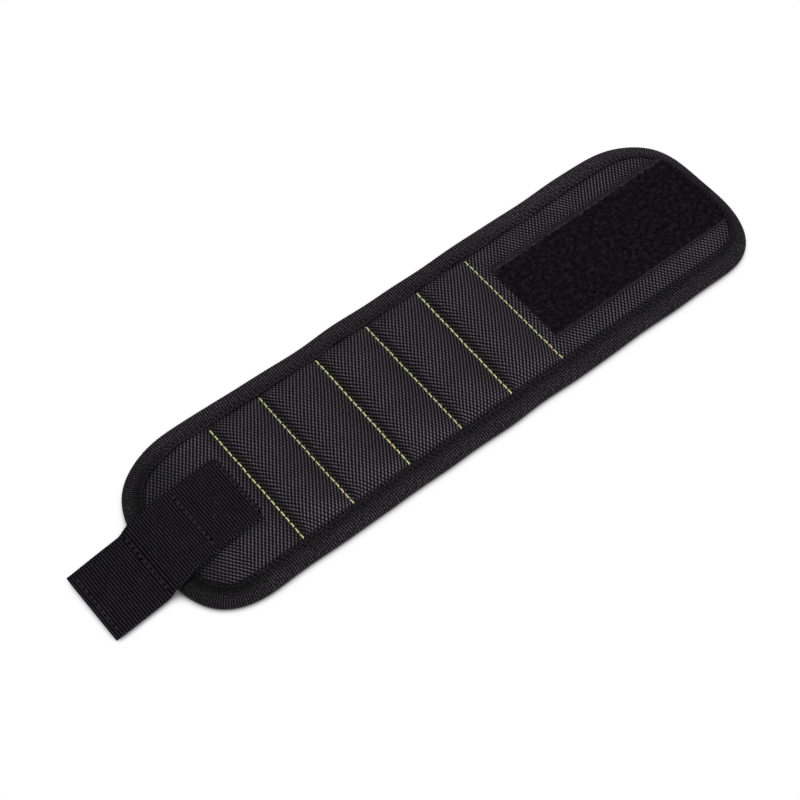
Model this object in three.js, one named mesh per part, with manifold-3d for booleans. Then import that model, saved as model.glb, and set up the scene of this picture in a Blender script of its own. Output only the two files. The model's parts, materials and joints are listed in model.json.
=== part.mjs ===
// Magnetic wristband: five padded magnet pockets between a strap end and a loop end.
// X runs along the band from the strap's free tab to the loop end, Y across it and Z up.
// The origin is under the centre of the middle pocket, on the plane that the band lies on.
// Sizes are in millimetres and angles in degrees.
import * as THREE from "three";
import { mergeVertices } from "three/addons/utils/BufferGeometryUtils.js";
import Module from "manifold-3d";

// Band outline
const POCKET_WIDTHS = [27, 31.4, 29, 29.3, 29.3];
const BAND_WIDTH = 90.8;
const STRAP_END_LENGTH = 57.3; // first stitch row to the tip
const STRAP_END_FLARE = 2.2; // the strap end is this much wider on its far side
const FLARE_LENGTH = 8;
const LOOP_END_LENGTH = 118.6; // last stitch row to the tip
const LOOP_INNER_LENGTH = 59.4; // last stitch row to the fold in the loop end
const FAR_CORNER = 57; // length of the strap end's rounder corner
const NEAR_CORNER = 37.5;
const LOOP_FAR_CORNER = 47; // the same at the loop end
const LOOP_NEAR_CORNER = 29;
const CORNER_POWER = 2.8; // 2 is an ellipse, more is squarer

// Layers, from the wrist up
const LINING = 1.3; // air mesh
const FACE = 0.9; // heavy plain weave
const TAPE = 1; // binding tape, folded over the edge
const FLANGE = 10.1; // how far the tape reaches in from the edge
const CLEARANCE = 0.3;

// Padding and magnets
const PADDING_ROW_MARGIN = 2.5; // bare seam allowance beside a stitch row
const PADDING_EDGE_MARGIN = 4; // bare seam allowance beside the tape
const PADDING_FLOOR = 0.5; // foam left under a magnet
const CROWN_SHOULDER = 7; // distance from a row to where a pocket is almost at full height
const CROWN_ROUNDNESS = 2.6; // power of the crown along the band
const CROWN_SQUARENESS = 5; // power of the crown across the band
const CROWN_BREAK = 0.7; // share of the padding's half width where the crown turns down
const BELLY_ROUNDNESS = 3; // power of the lining's belly beside a row
const MAGNETS_PER_POCKET = 2;
const MAGNET_WIDTH = 10;
const MAGNET_THICKNESS = 2;
const MAGNET_WALL = 3; // foam left beside a magnet
const MAGNET_COVER = 0.15; // spare height over a magnet's corner

// Stitch rows
const STITCH_LENGTH = 3.47;
const THREAD_WIDTH = 1;
const THREAD_HEIGHT = 0.7;
const STITCH_ARCH = 0.3; // how far a stitch stands up between its two holes
const STITCH_SIT = 0.05; // thread to fabric

// Folds: the face bends at each row and once in the loop end, and the lining gives way under it
const FOLD_GAP = 0.3;
const FOLD_BACK = 20;
const ROW_FOLDS = [46, 31, 32, 32, 32, 52];
const LOOP_FOLD = 69.5;

// Strap
const STRAP_WIDTH = 37.2;
const STRAP_THICKNESS = 1.5;
const STRAP_SLANT = 4.9; // the strap runs off square by this much
const STRAP_SETBACK = 8.3; // first stitch row to the sewn end
const STRAP_OFFSET = 2.1; // sewn end's centre from the band's centre line
const STRAP_RAMP = 8.5; // length in which the strap climbs onto the tape
const STRAP_RAMP_CLEARANCE = 3.5; // top of the ramp to the tape
const TAB_LENGTH = 30.8; // free tab beyond its fold
const TAB_REACH = 1.2; // the tab folds this far outside the band's tip
const TAB_DROP = 9; // length in which the tab comes down to the table
const TAB_FOLD_DOWN = 65.5;
const TAB_FOLD_UP = 120;
const HOOK_THICKNESS = 1.4;
const HOOK_SETBACK = 4.5; // tab fold to the hook strip
const HOOK_MARGIN = 0.6; // hook strip inside the tab's edges

// Loop pad
const LOOP_PAD_WIDTH = 48;
const LOOP_PAD_THICKNESS = 1.7;
const LOOP_PAD_SETBACK = 6; // last stitch row to the pad

// Steps in the curves
const ROUND_STEPS = 4;
const CORNER_STEPS = 9;
const DROP_STEPS = 6;
const MERGE_DISTANCE = 1e-4; // points of one solid closer than this are one point

// Heights that follow from the layers
const LINING_BASE = TAPE + CLEARANCE;
const FACE_BASE = LINING_BASE + LINING + CLEARANCE;
const FACE_TOP = FACE_BASE + FACE;
const EDGE_HEIGHT = FACE_TOP + CLEARANCE + TAPE;
const FOLD_HEIGHT = FACE_TOP - FACE / 2;
const MAGNET_BASE = LINING + PADDING_FLOOR + 2 * CLEARANCE;
const PAD_BASE = FACE_TOP + CLEARANCE;
const PAD_TOP = PAD_BASE + LOOP_PAD_THICKNESS;
const TAB_FOLD_HEIGHT = EDGE_HEIGHT + CLEARANCE + STRAP_THICKNESS / 2;

// Places that follow along and across the band
const HALF_WIDTH = BAND_WIDTH / 2;
const FABRIC_INSET = EDGE_HEIGHT / 2; // the fabric ends where the tape starts to curve
const MIDDLE = Math.floor(POCKET_WIDTHS.length / 2);
const FIRST_ROW = -POCKET_WIDTHS.slice(0, MIDDLE).reduce((a, b) => a + b, POCKET_WIDTHS[MIDDLE] / 2);
const ROWS = POCKET_WIDTHS.reduce((xs, width) => [...xs, xs.at(-1) + width], [FIRST_ROW]);
const LAST_ROW = ROWS.at(-1);
const STRAP_TIP = FIRST_ROW - STRAP_END_LENGTH;
const LOOP_TIP = LAST_ROW + LOOP_END_LENGTH;
const FOLD_OFFSET = THREAD_WIDTH / 2 + FOLD_GAP; // a fold runs just beside its row of thread
const FOLDS = [...ROWS.map((x) => x + FOLD_OFFSET), LAST_ROW + LOOP_INNER_LENGTH];
const FOLD_LIMITS = [...ROW_FOLDS, LOOP_FOLD];
const TAB_FOLD = STRAP_TIP - TAB_REACH;

const { Vector2, Vector3 } = THREE;
const { clamp, degToRad, lerp, smoothstep } = THREE.MathUtils;
const wasm = await Module();
wasm.setup();

function material(color, roughness, metalness = 0) {
  return new THREE.MeshStandardMaterial({ color, roughness, metalness });
}

const FACE_CLOTH = material(0x26242a, 0.8);
const AIR_MESH = material(0x1c1c20, 0.95);
const FOAM = material(0x4a4a4e, 0.95);
const TAPE_CLOTH = material(0x17161a, 0.85);
const THREAD = material(0xd9d68c, 0.6);
const NICKEL = material(0xb4b6ba, 0.3, 1);
const WEBBING = material(0x151417, 0.8);
const HOOKS = material(0x101013, 0.7);
const PILE = material(0x0e0d11, 1);

// A closed geometry from shared points, with its faces turned outwards
function closed(points, faces) {
  const part = (a, b, c) => points[a].dot(new Vector3().crossVectors(points[b], points[c]));
  const volume = faces.reduce((sum, face) => sum + part(...face), 0);
  const turned = volume < 0 ? faces.map(([a, b, c]) => [a, c, b]) : faces;
  return new THREE.BufferGeometry().setFromPoints(points).setIndex(turned.flat());
}

function toManifold(geometry) {
  const bare = geometry.clone();
  bare.deleteAttribute("normal");
  bare.deleteAttribute("uv");
  const merged = mergeVertices(bare, MERGE_DISTANCE);
  const vertProperties = new Float32Array(merged.attributes.position.array);
  const triVerts = new Uint32Array(merged.index.array);
  return new wasm.Manifold(new wasm.Mesh({ numProp: 3, vertProperties, triVerts }));
}

// The first geometry with the others cut out of it
function cut(geometry, tools) {
  const solid = tools.reduce((rest, tool) => rest.subtract(toManifold(tool)), toManifold(geometry));
  const mesh = solid.getMesh();
  const result = new THREE.BufferGeometry();
  result.setAttribute("position", new THREE.BufferAttribute(mesh.vertProperties, 3));
  result.setIndex(new THREE.BufferAttribute(mesh.triVerts, 1));
  return result;
}

// How far an end wall stands back from a fold line at height z, so that the fold can close
function foldLean(height, down, up) {
  const below = Math.tan(degToRad(down / 2));
  const above = Math.tan(degToRad(up / 2));
  return (z) => FOLD_GAP / 2 + (z > height ? (z - height) * above : (height - z) * below);
}

const LEANS = FOLD_LIMITS.map((limit) => foldLean(FOLD_HEIGHT, limit, FOLD_BACK));

// Points where the layers of a pocket change slope: along the band between two folds, and across it
function pocketColumns(pocket) {
  const start = FOLDS[pocket];
  const seam = ROWS[pocket + 1] - THREAD_WIDTH;
  const steps = [0, PADDING_ROW_MARGIN, CROWN_SHOULDER];
  return [
    ...steps.map((step) => start + step),
    (start + seam) / 2,
    ...steps.toReversed().map((step) => seam - step),
    FOLDS[pocket + 1],
  ];
}

const TAPE_EDGE = HALF_WIDTH - FLANGE;
const CROWN_EDGE = TAPE_EDGE + CLEARANCE;
const PADDING_EDGE = TAPE_EDGE - PADDING_EDGE_MARGIN;
const MAGNET_LENGTH = (2 * PADDING_EDGE - (MAGNETS_PER_POCKET + 1) * MAGNET_WALL) / MAGNETS_PER_POCKET;
const PADDING_STATIONS = [-1, -CROWN_BREAK, 0, CROWN_BREAK, 1].map((share) => share * PADDING_EDGE);
const FABRIC_EDGE = HALF_WIDTH - FABRIC_INSET;
const STATIONS = [-FABRIC_EDGE, -CROWN_EDGE, ...PADDING_STATIONS, CROWN_EDGE, FABRIC_EDGE];

// Share of the full crown at a point of a pocket: none at the rows and the tape, all at the middle
function crownShare(pocket, x, y) {
  const start = FOLDS[pocket];
  const seam = ROWS[pocket + 1] - THREAD_WIDTH;
  const along = Math.abs((2 * x - start - seam) / (seam - start));
  const across = Math.abs(y) / CROWN_EDGE;
  if (along >= 1 || across >= 1) return 0;
  return (1 - along ** CROWN_ROUNDNESS) * (1 - across ** CROWN_SQUARENESS);
}

// The same share on the flat facets between the columns and stations, at a magnet's outer corner
function crownShareOverMagnet(pocket) {
  const columns = pocketColumns(pocket);
  const middle = (columns[2] + columns[4]) / 2;
  const x = middle + MAGNET_WIDTH / 2 + CLEARANCE;
  const y = PADDING_EDGE - MAGNET_WALL + CLEARANCE;
  const between = (value, low, high) => clamp((value - low) / (high - low), 0, 1);
  const alongX = between(x, middle, columns[4]);
  const acrossY = between(y, PADDING_STATIONS[3], PADDING_STATIONS[4]);
  const share = (column, station) => crownShare(pocket, columns[column], PADDING_STATIONS[station]);
  const inner = lerp(share(3, 3), share(4, 3), alongX);
  const outer = lerp(share(3, 4), share(4, 4), alongX);
  return lerp(inner, outer, acrossY);
}

// The crown rises until the face clears the magnets under it
const LEAST_SHARE = Math.min(...POCKET_WIDTHS.map((width, pocket) => crownShareOverMagnet(pocket)));
const MAGNET_STACK = MAGNET_BASE + MAGNET_THICKNESS + CLEARANCE + MAGNET_COVER;
const CROWN_RISE = (MAGNET_STACK - FACE_BASE) / LEAST_SHARE;

function faceUnder(pocket, x, y) {
  return FACE_BASE + CROWN_RISE * crownShare(pocket, x, y);
}

// The lining bellies down to the table inside each pocket and is drawn up at its seams
function liningUnder(pocket, x, y) {
  const seam = ROWS[pocket + 1] - THREAD_WIDTH;
  const fromRow = clamp(Math.min(x - FOLDS[pocket], seam - x) / CROWN_SHOULDER, 0, 1);
  const along = 1 - (1 - fromRow) ** BELLY_ROUNDNESS;
  const across = clamp((CROWN_EDGE - Math.abs(y)) / (CROWN_EDGE - PADDING_EDGE), 0, 1);
  return LINING_BASE * (1 - along * across);
}

// A sheet over a grid of columns and stations, between two heights, with leaning end walls
function quilted(columns, stations, low, high, leanStart, leanEnd) {
  const points = [];
  const faces = [];
  const last = columns.length - 1;
  const shift = (i, z) => (i === 0 ? leanStart(z) : i === last ? -leanEnd(z) : 0);
  for (const height of [high, low]) {
    columns.forEach((x, i) =>
      stations.forEach((y) => {
        const z = height(x, y);
        points.push(new Vector3(x + shift(i, z), y, z));
      }),
    );
  }
  const far = stations.length - 1;
  const top = (i, j) => i * stations.length + j;
  const bottom = (i, j) => columns.length * stations.length + top(i, j);
  const quad = (a, b, c, d) => faces.push([a, b, c], [a, c, d]);
  for (let i = 0; i < last; i += 1) {
    for (let j = 0; j < far; j += 1) {
      quad(top(i, j), top(i + 1, j), top(i + 1, j + 1), top(i, j + 1));
      quad(bottom(i, j), bottom(i, j + 1), bottom(i + 1, j + 1), bottom(i + 1, j));
    }
    quad(bottom(i, 0), bottom(i + 1, 0), top(i + 1, 0), top(i, 0));
    quad(bottom(i + 1, far), bottom(i, far), top(i, far), top(i + 1, far));
  }
  for (let j = 0; j < far; j += 1) {
    quad(bottom(last, j), bottom(last, j + 1), top(last, j + 1), top(last, j));
    quad(bottom(0, j + 1), bottom(0, j), top(0, j), top(0, j + 1));
  }
  return closed(points, faces);
}

// A flat plate of the given outline, whose walls on a fold line lean back from it
function plate(outline, low, high, folds) {
  const shape = new THREE.Shape(outline);
  const geometry = new THREE.ExtrudeGeometry(shape, { depth: high - low, bevelEnabled: false });
  geometry.translate(0, 0, low);
  const place = geometry.attributes.position;
  for (let k = 0; k < place.count; k += 1) {
    const x = place.getX(k);
    for (const { at, side, lean } of folds) {
      if (Math.abs(x - at) < MERGE_DISTANCE) place.setX(k, x + side * lean(place.getZ(k)));
    }
  }
  return geometry;
}

// Half of the band's width at the strap end, whose far side (1) flares out from the first fold
function strapEndHalf(x, side) {
  return side < 0 ? HALF_WIDTH : HALF_WIDTH + STRAP_END_FLARE * smoothstep(FOLDS[0] - x, 0, FLARE_LENGTH);
}

// The outer edge of an end, from its fold along the far side, round the tip and back
function endOutline({ fold, tip, half, far, near }) {
  const outward = Math.sign(tip - fold);
  const corner = (length, side) => {
    const points = [];
    for (let k = CORNER_STEPS; k > 0; k -= 1) {
      const angle = (k / CORNER_STEPS) * (Math.PI / 2);
      const reach = Math.max(Math.cos(angle), 0) ** (2 / CORNER_POWER);
      const x = tip - outward * length * (1 - reach);
      points.push(new Vector2(x, side * half(x, side) * Math.sin(angle) ** (2 / CORNER_POWER)));
    }
    return points;
  };
  return [
    new Vector2(fold, half(fold, 1)),
    ...corner(far, 1),
    new Vector2(tip, 0),
    ...corner(near, -1).toReversed(),
    new Vector2(fold, -half(fold, -1)),
  ];
}

// Unit vectors from the outline's points into the band
function inwardNormals(outline) {
  const last = outline.length - 1;
  const turn = Math.sign(THREE.ShapeUtils.area(outline));
  return outline.map((point, k) => {
    if (k === 0 || k === last) return new Vector2(0, -Math.sign(point.y));
    const along = outline[k + 1].clone().sub(outline[k - 1]).normalize();
    return new Vector2(-along.y, along.x).multiplyScalar(turn);
  });
}

function inset(outline, depth) {
  const normals = inwardNormals(outline);
  return outline.map((point, k) => point.clone().addScaledVector(normals[k], depth));
}

const STRAP_END = { fold: FOLDS[0], tip: STRAP_TIP, half: strapEndHalf, far: FAR_CORNER, near: NEAR_CORNER };
const LOOP_END = {
  fold: FOLDS.at(-1),
  tip: LOOP_TIP,
  half: () => HALF_WIDTH,
  far: LOOP_FAR_CORNER,
  near: LOOP_NEAR_CORNER,
};

// Section of the binding tape: depth in from the edge, and height
function tapeSection() {
  const middle = EDGE_HEIGHT / 2;
  const bend = (radius) =>
    Array.from({ length: ROUND_STEPS + 1 }, (none, k) => {
      const angle = Math.PI * (0.5 - k / ROUND_STEPS);
      return new Vector2(middle - radius * Math.cos(angle), middle + radius * Math.sin(angle));
    });
  return [
    new Vector2(FLANGE, EDGE_HEIGHT),
    ...bend(middle),
    new Vector2(FLANGE, 0),
    new Vector2(FLANGE, TAPE),
    ...bend(middle - TAPE).toReversed(),
    new Vector2(FLANGE, EDGE_HEIGHT - TAPE),
  ];
}

// The binding tape along an outline, with its first and last walls leaning back from their folds
function tape(outline, shiftStart, shiftEnd) {
  const section = tapeSection();
  const normals = inwardNormals(outline);
  const last = outline.length - 1;
  const shift = (k, z) => (k === 0 ? shiftStart(z) : k === last ? shiftEnd(z) : 0);
  const points = outline.flatMap((point, k) =>
    section.map(({ x: depth, y: z }) => {
      const place = point.clone().addScaledVector(normals[k], depth);
      return new Vector3(place.x + shift(k, z), place.y, z);
    }),
  );
  const count = section.length;
  const faces = [];
  for (let k = 0; k < last; k += 1) {
    for (let i = 0; i < count; i += 1) {
      const next = (i + 1) % count;
      const [a, b, c, d] = [k * count + i, k * count + next, (k + 1) * count + next, (k + 1) * count + i];
      faces.push([a, b, c], [a, c, d]);
    }
  }
  const turn = Math.sign(THREE.ShapeUtils.area(section));
  const end = last * count;
  for (const corners of THREE.ShapeUtils.triangulateShape(section, [])) {
    const agrees = Math.sign(THREE.ShapeUtils.area(corners.map((i) => section[i]))) === turn;
    const [a, b, c] = agrees ? corners : corners.toReversed();
    faces.push([c, b, a], [end + a, end + b, end + c]);
  }
  return closed(points, faces);
}

// A strip of webbing or hook tape from a side profile of x and z points, slanted with the strap
function slantedStrip(profile, width) {
  const points = profile.map(([x, z]) => new Vector2(x, z));
  const geometry = new THREE.ExtrudeGeometry(new THREE.Shape(points), { depth: width, bevelEnabled: false });
  const place = geometry.attributes.position;
  const slope = Math.tan(degToRad(STRAP_SLANT));
  for (let k = 0; k < place.count; k += 1) {
    const [x, z, across] = [place.getX(k), place.getY(k), place.getZ(k)];
    const centre = STRAP_OFFSET + (x - (FIRST_ROW - STRAP_SETBACK)) * slope;
    place.setXYZ(k, x, centre + width / 2 - across, z);
  }
  return geometry;
}

const band = new THREE.Group();

function section(name) {
  const group = new THREE.Group();
  group.name = name;
  band.add(group);
  return group;
}

function add(group, name, geometry, finish) {
  const mesh = new THREE.Mesh(geometry, finish);
  mesh.name = name;
  group.add(mesh);
  return mesh;
}

// Tape along one straight side between two folds; side is 1 at the far edge and -1 at the near one
function sideTape(first, side) {
  const y = side * HALF_WIDTH;
  const outline = [new Vector2(FOLDS[first], y), new Vector2(FOLDS[first + 1], y)];
  return tape(outline, LEANS[first], (z) => -LEANS[first + 1](z));
}

function addSideTapes(group, name, first) {
  add(group, `${name}_binding_far`, sideTape(first, 1), TAPE_CLOTH);
  add(group, `${name}_binding_near`, sideTape(first, -1), TAPE_CLOTH);
}

// One row of yellow stitches on the face, along the seam at x
function stitchRow(x) {
  const count = Math.floor((2 * (TAPE_EDGE - CLEARANCE)) / STITCH_LENGTH);
  const start = (-count * STITCH_LENGTH) / 2;
  const base = FACE_TOP + STITCH_SIT + THREAD_HEIGHT / 2;
  const points = [];
  const faces = [];
  for (let k = 0; k <= 2 * count; k += 1) {
    const y = start + (k * STITCH_LENGTH) / 2;
    const z = base + (k % 2) * STITCH_ARCH;
    points.push(new Vector3(x - THREAD_WIDTH / 2, y, z), new Vector3(x, y, z - THREAD_HEIGHT / 2));
    points.push(new Vector3(x + THREAD_WIDTH / 2, y, z), new Vector3(x, y, z + THREAD_HEIGHT / 2));
  }
  for (let k = 0; k < 2 * count; k += 1) {
    for (let i = 0; i < 4; i += 1) {
      const [a, b] = [4 * k + i, 4 * k + ((i + 1) % 4)];
      faces.push([a, b, b + 4], [a, b + 4, a + 4]);
    }
  }
  const end = 8 * count;
  faces.push([1, 0, 2], [2, 0, 3], [end, end + 1, end + 2], [end, end + 2, end + 3]);
  return closed(points, faces);
}

function magnetPlaces(pocket) {
  const columns = pocketColumns(pocket);
  const x = (columns[2] + columns[4]) / 2;
  const pitch = MAGNET_LENGTH + MAGNET_WALL;
  const z = MAGNET_BASE + MAGNET_THICKNESS / 2;
  return Array.from({ length: MAGNETS_PER_POCKET }, (none, k) => {
    return new Vector3(x, (k - (MAGNETS_PER_POCKET - 1) / 2) * pitch, z);
  });
}

// The foam between face and lining, with an open recess for each magnet
function padding(pocket) {
  const columns = pocketColumns(pocket).slice(1, -2);
  const low = (x, y) => liningUnder(pocket, x, y) + LINING + CLEARANCE;
  const high = (x, y) => faceUnder(pocket, x, y) - CLEARANCE;
  const upright = () => 0;
  const foam = quilted(columns, PADDING_STATIONS, low, high, upright, upright);
  const depth = FACE_TOP + CROWN_RISE;
  const recesses = magnetPlaces(pocket).map((place) => {
    const hole = new THREE.BoxGeometry(MAGNET_WIDTH + 2 * CLEARANCE, MAGNET_LENGTH + 2 * CLEARANCE, depth);
    return hole.translate(place.x, place.y, MAGNET_BASE - CLEARANCE + depth / 2);
  });
  return cut(foam, recesses);
}

function addPocket(pocket) {
  const name = `pocket_${pocket + 1}`;
  const group = section(name);
  const columns = pocketColumns(pocket);
  const leans = [LEANS[pocket], LEANS[pocket + 1]];
  const faceLow = (x, y) => faceUnder(pocket, x, y);
  const faceHigh = (x, y) => faceUnder(pocket, x, y) + FACE;
  const liningLow = (x, y) => liningUnder(pocket, x, y);
  const liningHigh = (x, y) => liningUnder(pocket, x, y) + LINING;
  add(group, `${name}_face`, quilted(columns, STATIONS, faceLow, faceHigh, ...leans), FACE_CLOTH);
  add(group, `${name}_lining`, quilted(columns, STATIONS, liningLow, liningHigh, ...leans), AIR_MESH);
  add(group, `${name}_padding`, padding(pocket), FOAM);
  addSideTapes(group, name, pocket);
  magnetPlaces(pocket).forEach((place, k) => {
    const block = new THREE.BoxGeometry(MAGNET_WIDTH, MAGNET_LENGTH, MAGNET_THICKNESS);
    add(group, `${name}_magnet_${k + 1}`, block, NICKEL).position.copy(place);
  });
  add(group, `stitch_row_${pocket + 2}`, stitchRow(ROWS[pocket + 1]), THREAD);
}

// Side profile of the strap on the band: flat where it is sewn, then up onto the tape
function anchorProfile() {
  const sewn = FIRST_ROW - STRAP_SETBACK;
  const rampTop = STRAP_TIP + FLANGE + STRAP_RAMP_CLEARANCE;
  const under = [[sewn, FACE_TOP + CLEARANCE]];
  for (let k = 0; k <= DROP_STEPS; k += 1) {
    const x = rampTop + STRAP_RAMP * (1 - k / DROP_STEPS);
    const climb = smoothstep(k / DROP_STEPS, 0, 1);
    under.push([x, lerp(FACE_TOP, EDGE_HEIGHT, climb) + CLEARANCE]);
  }
  return endOnTabFold(under, 1);
}

// The free tab comes off the tape and down to lie on its hook strip
function tabHeight(x) {
  const down = smoothstep(TAB_FOLD - x, 0, TAB_DROP);
  return lerp(EDGE_HEIGHT + CLEARANCE, HOOK_THICKNESS + CLEARANCE, down);
}

function tabColumns(from, to) {
  const steps = Array.from({ length: DROP_STEPS }, (none, k) => TAB_FOLD - (TAB_DROP * (k + 1)) / DROP_STEPS);
  return [from, ...steps.filter((x) => x < from && x > to), to];
}

function tabProfile() {
  const columns = tabColumns(TAB_FOLD, TAB_FOLD - TAB_LENGTH).slice(1);
  return endOnTabFold(columns.map((x) => [x, tabHeight(x)]).toReversed(), -1);
}

// Close a strap profile with a wall that leans back from the tab's fold; side is the strap's side of it
function endOnTabFold(under, side) {
  const low = EDGE_HEIGHT + CLEARANCE;
  const lean = foldLean(TAB_FOLD_HEIGHT, TAB_FOLD_DOWN, TAB_FOLD_UP);
  const wall = [low, TAB_FOLD_HEIGHT, low + STRAP_THICKNESS].map((z) => [TAB_FOLD + side * lean(z), z]);
  const over = under.map(([x, z]) => [x, z + STRAP_THICKNESS]).toReversed();
  return [...under, ...wall, ...over];
}

function hookProfile() {
  const end = TAB_FOLD - TAB_LENGTH + HOOK_MARGIN;
  const over = tabColumns(TAB_FOLD - HOOK_SETBACK, end).map((x) => [x, tabHeight(x) - CLEARANCE]);
  return [...over, ...over.map(([x, z]) => [x, z - HOOK_THICKNESS]).toReversed()];
}

function addStrapEnd() {
  const group = section("strap_end");
  const outline = endOutline(STRAP_END);
  const cloth = inset(outline, FABRIC_INSET);
  const folds = [{ at: FOLDS[0], side: -1, lean: LEANS[0] }];
  const shift = (z) => -LEANS[0](z);
  add(group, "strap_end_face", plate(cloth, FACE_BASE, FACE_TOP, folds), FACE_CLOTH);
  add(group, "strap_end_lining", plate(cloth, LINING_BASE, LINING_BASE + LINING, folds), AIR_MESH);
  add(group, "strap_end_binding", tape(outline, shift, shift), TAPE_CLOTH);
  add(group, "stitch_row_1", stitchRow(ROWS[0]), THREAD);
  add(group, "strap_anchor", slantedStrip(anchorProfile(), STRAP_WIDTH), WEBBING);
  const tab = section("strap_tab");
  add(tab, "strap_tab_webbing", slantedStrip(tabProfile(), STRAP_WIDTH), WEBBING);
  add(tab, "strap_tab_hooks", slantedStrip(hookProfile(), STRAP_WIDTH - 2 * HOOK_MARGIN), HOOKS);
}

function rectangle(x0, x1, half) {
  return [new Vector2(x0, -half), new Vector2(x1, -half), new Vector2(x1, half), new Vector2(x0, half)];
}

function addLoopEndInner() {
  const group = section("loop_end_inner");
  const [start, end] = FOLDS.slice(-2);
  const folds = [
    { at: start, side: 1, lean: LEANS.at(-2) },
    { at: end, side: -1, lean: LEANS.at(-1) },
  ];
  const cloth = rectangle(start, end, FABRIC_EDGE);
  const pad = rectangle(LAST_ROW + LOOP_PAD_SETBACK, end, LOOP_PAD_WIDTH / 2);
  add(group, "loop_end_inner_face", plate(cloth, FACE_BASE, FACE_TOP, folds), FACE_CLOTH);
  add(group, "loop_end_inner_lining", plate(cloth, LINING_BASE, LINING_BASE + LINING, folds), AIR_MESH);
  addSideTapes(group, "loop_end_inner", FOLDS.length - 2);
  add(group, "loop_pad_inner", plate(pad, PAD_BASE, PAD_TOP, folds), PILE);
}

// The loop pad's last stretch, trimmed to the curve of the tape at the tip
function trimmedPad() {
  const half = LOOP_PAD_WIDTH / 2;
  const rim = inset(endOutline(LOOP_END), FLANGE + CLEARANCE);
  const inside = rim.filter((point) => Math.abs(point.y) < half);
  const crossing = (level) => {
    const k = rim.findIndex((point, i) => point.y >= level && rim[i + 1].y < level);
    return rim[k].clone().lerp(rim[k + 1], (level - rim[k].y) / (rim[k + 1].y - rim[k].y));
  };
  const start = FOLDS.at(-1);
  return [new Vector2(start, half), crossing(half), ...inside, crossing(-half), new Vector2(start, -half)];
}

function addLoopEndOuter() {
  const group = section("loop_end_outer");
  const outline = endOutline(LOOP_END);
  const cloth = inset(outline, FABRIC_INSET);
  const folds = [{ at: FOLDS.at(-1), side: 1, lean: LEANS.at(-1) }];
  add(group, "loop_end_outer_face", plate(cloth, FACE_BASE, FACE_TOP, folds), FACE_CLOTH);
  add(group, "loop_end_outer_lining", plate(cloth, LINING_BASE, LINING_BASE + LINING, folds), AIR_MESH);
  add(group, "loop_end_outer_binding", tape(outline, LEANS.at(-1), LEANS.at(-1)), TAPE_CLOTH);
  add(group, "loop_pad_outer", plate(trimmedPad(), PAD_BASE, PAD_TOP, folds), PILE);
}

addStrapEnd();
POCKET_WIDTHS.forEach((width, pocket) => addPocket(pocket));
addLoopEndInner();
addLoopEndOuter();

export default band;
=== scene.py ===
import json
import math

import bpy
import numpy as np
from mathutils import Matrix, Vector


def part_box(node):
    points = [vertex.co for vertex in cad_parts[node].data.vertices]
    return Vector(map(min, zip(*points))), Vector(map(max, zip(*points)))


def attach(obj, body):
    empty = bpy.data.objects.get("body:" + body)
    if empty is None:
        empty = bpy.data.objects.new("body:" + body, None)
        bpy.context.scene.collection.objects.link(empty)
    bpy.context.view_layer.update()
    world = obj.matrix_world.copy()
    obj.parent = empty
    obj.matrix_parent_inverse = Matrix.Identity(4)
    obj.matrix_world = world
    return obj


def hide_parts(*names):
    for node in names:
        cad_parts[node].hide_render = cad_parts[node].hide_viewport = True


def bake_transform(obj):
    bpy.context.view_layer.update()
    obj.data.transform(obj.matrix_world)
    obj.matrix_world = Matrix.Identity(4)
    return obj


# Magnetic wristband: five padded magnet pockets between a strap end and a loop end.
# X runs along the band from the strap's tab to the loop end, Y across it and Z up.
# Sizes are in millimetres, and each piece is scaled to metres when its mesh is made.

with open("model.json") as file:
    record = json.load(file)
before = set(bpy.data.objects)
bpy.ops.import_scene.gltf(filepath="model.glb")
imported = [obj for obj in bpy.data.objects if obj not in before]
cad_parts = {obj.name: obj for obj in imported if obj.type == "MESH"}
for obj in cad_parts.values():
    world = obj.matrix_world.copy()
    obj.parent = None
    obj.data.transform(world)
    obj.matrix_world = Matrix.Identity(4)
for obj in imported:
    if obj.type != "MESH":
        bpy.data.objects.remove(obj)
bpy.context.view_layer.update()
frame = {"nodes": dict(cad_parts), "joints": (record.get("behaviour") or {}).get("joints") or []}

MM = 0.001


def box(node):
    """Lowest and highest corner of a CAD node, in millimetres."""
    low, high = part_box(node)
    return np.array(low) / MM, np.array(high) / MM


# Places that come from the frame
POCKETS = 5
CHAIN = ["strap_end", *(f"pocket_{k + 1}" for k in range(POCKETS)), "loop_end_inner", "loop_end_outer"]
JOINTS = {joint["name"]: joint for joint in frame["joints"]}
FOLD_NAMES = [*(f"fold_row_{k + 1}" for k in range(POCKETS + 1)), "fold_loop_end"]
FOLDS = [JOINTS[name]["pos_m"][0] / MM for name in FOLD_NAMES]
LAST_FOLD = len(FOLDS) - 1
FOLD_HEIGHT = JOINTS["fold_row_1"]["pos_m"][2] / MM
TAB_FOLD, _, TAB_FOLD_HEIGHT = (place / MM for place in JOINTS["fold_tab"]["pos_m"])
ROWS = [np.mean([corner[0] for corner in box(f"stitch_row_{k + 1}")]) for k in range(POCKETS + 1)]
CUTS = [(start + end) / 2 for start, end in zip(FOLDS[:-1], FOLDS[1:])]
(_, TAPE_EDGE, _), (_, HALF_WIDTH, EDGE_HEIGHT) = box("pocket_3_binding_far")
FACE_BASE, FACE_TOP = (corner[2] for corner in box("loop_end_inner_face"))
LINING_BASE, LINING_TOP = (corner[2] for corner in box("loop_end_inner_lining"))
CROWN_TOP = box("pocket_3_face")[1][2]
STRAP_TIP = box("strap_end_binding")[0][0]
LOOP_TIP = box("loop_end_outer_binding")[1][0]
SEWN_END, _, STRAP_TOP = box("strap_anchor")[1]
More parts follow.
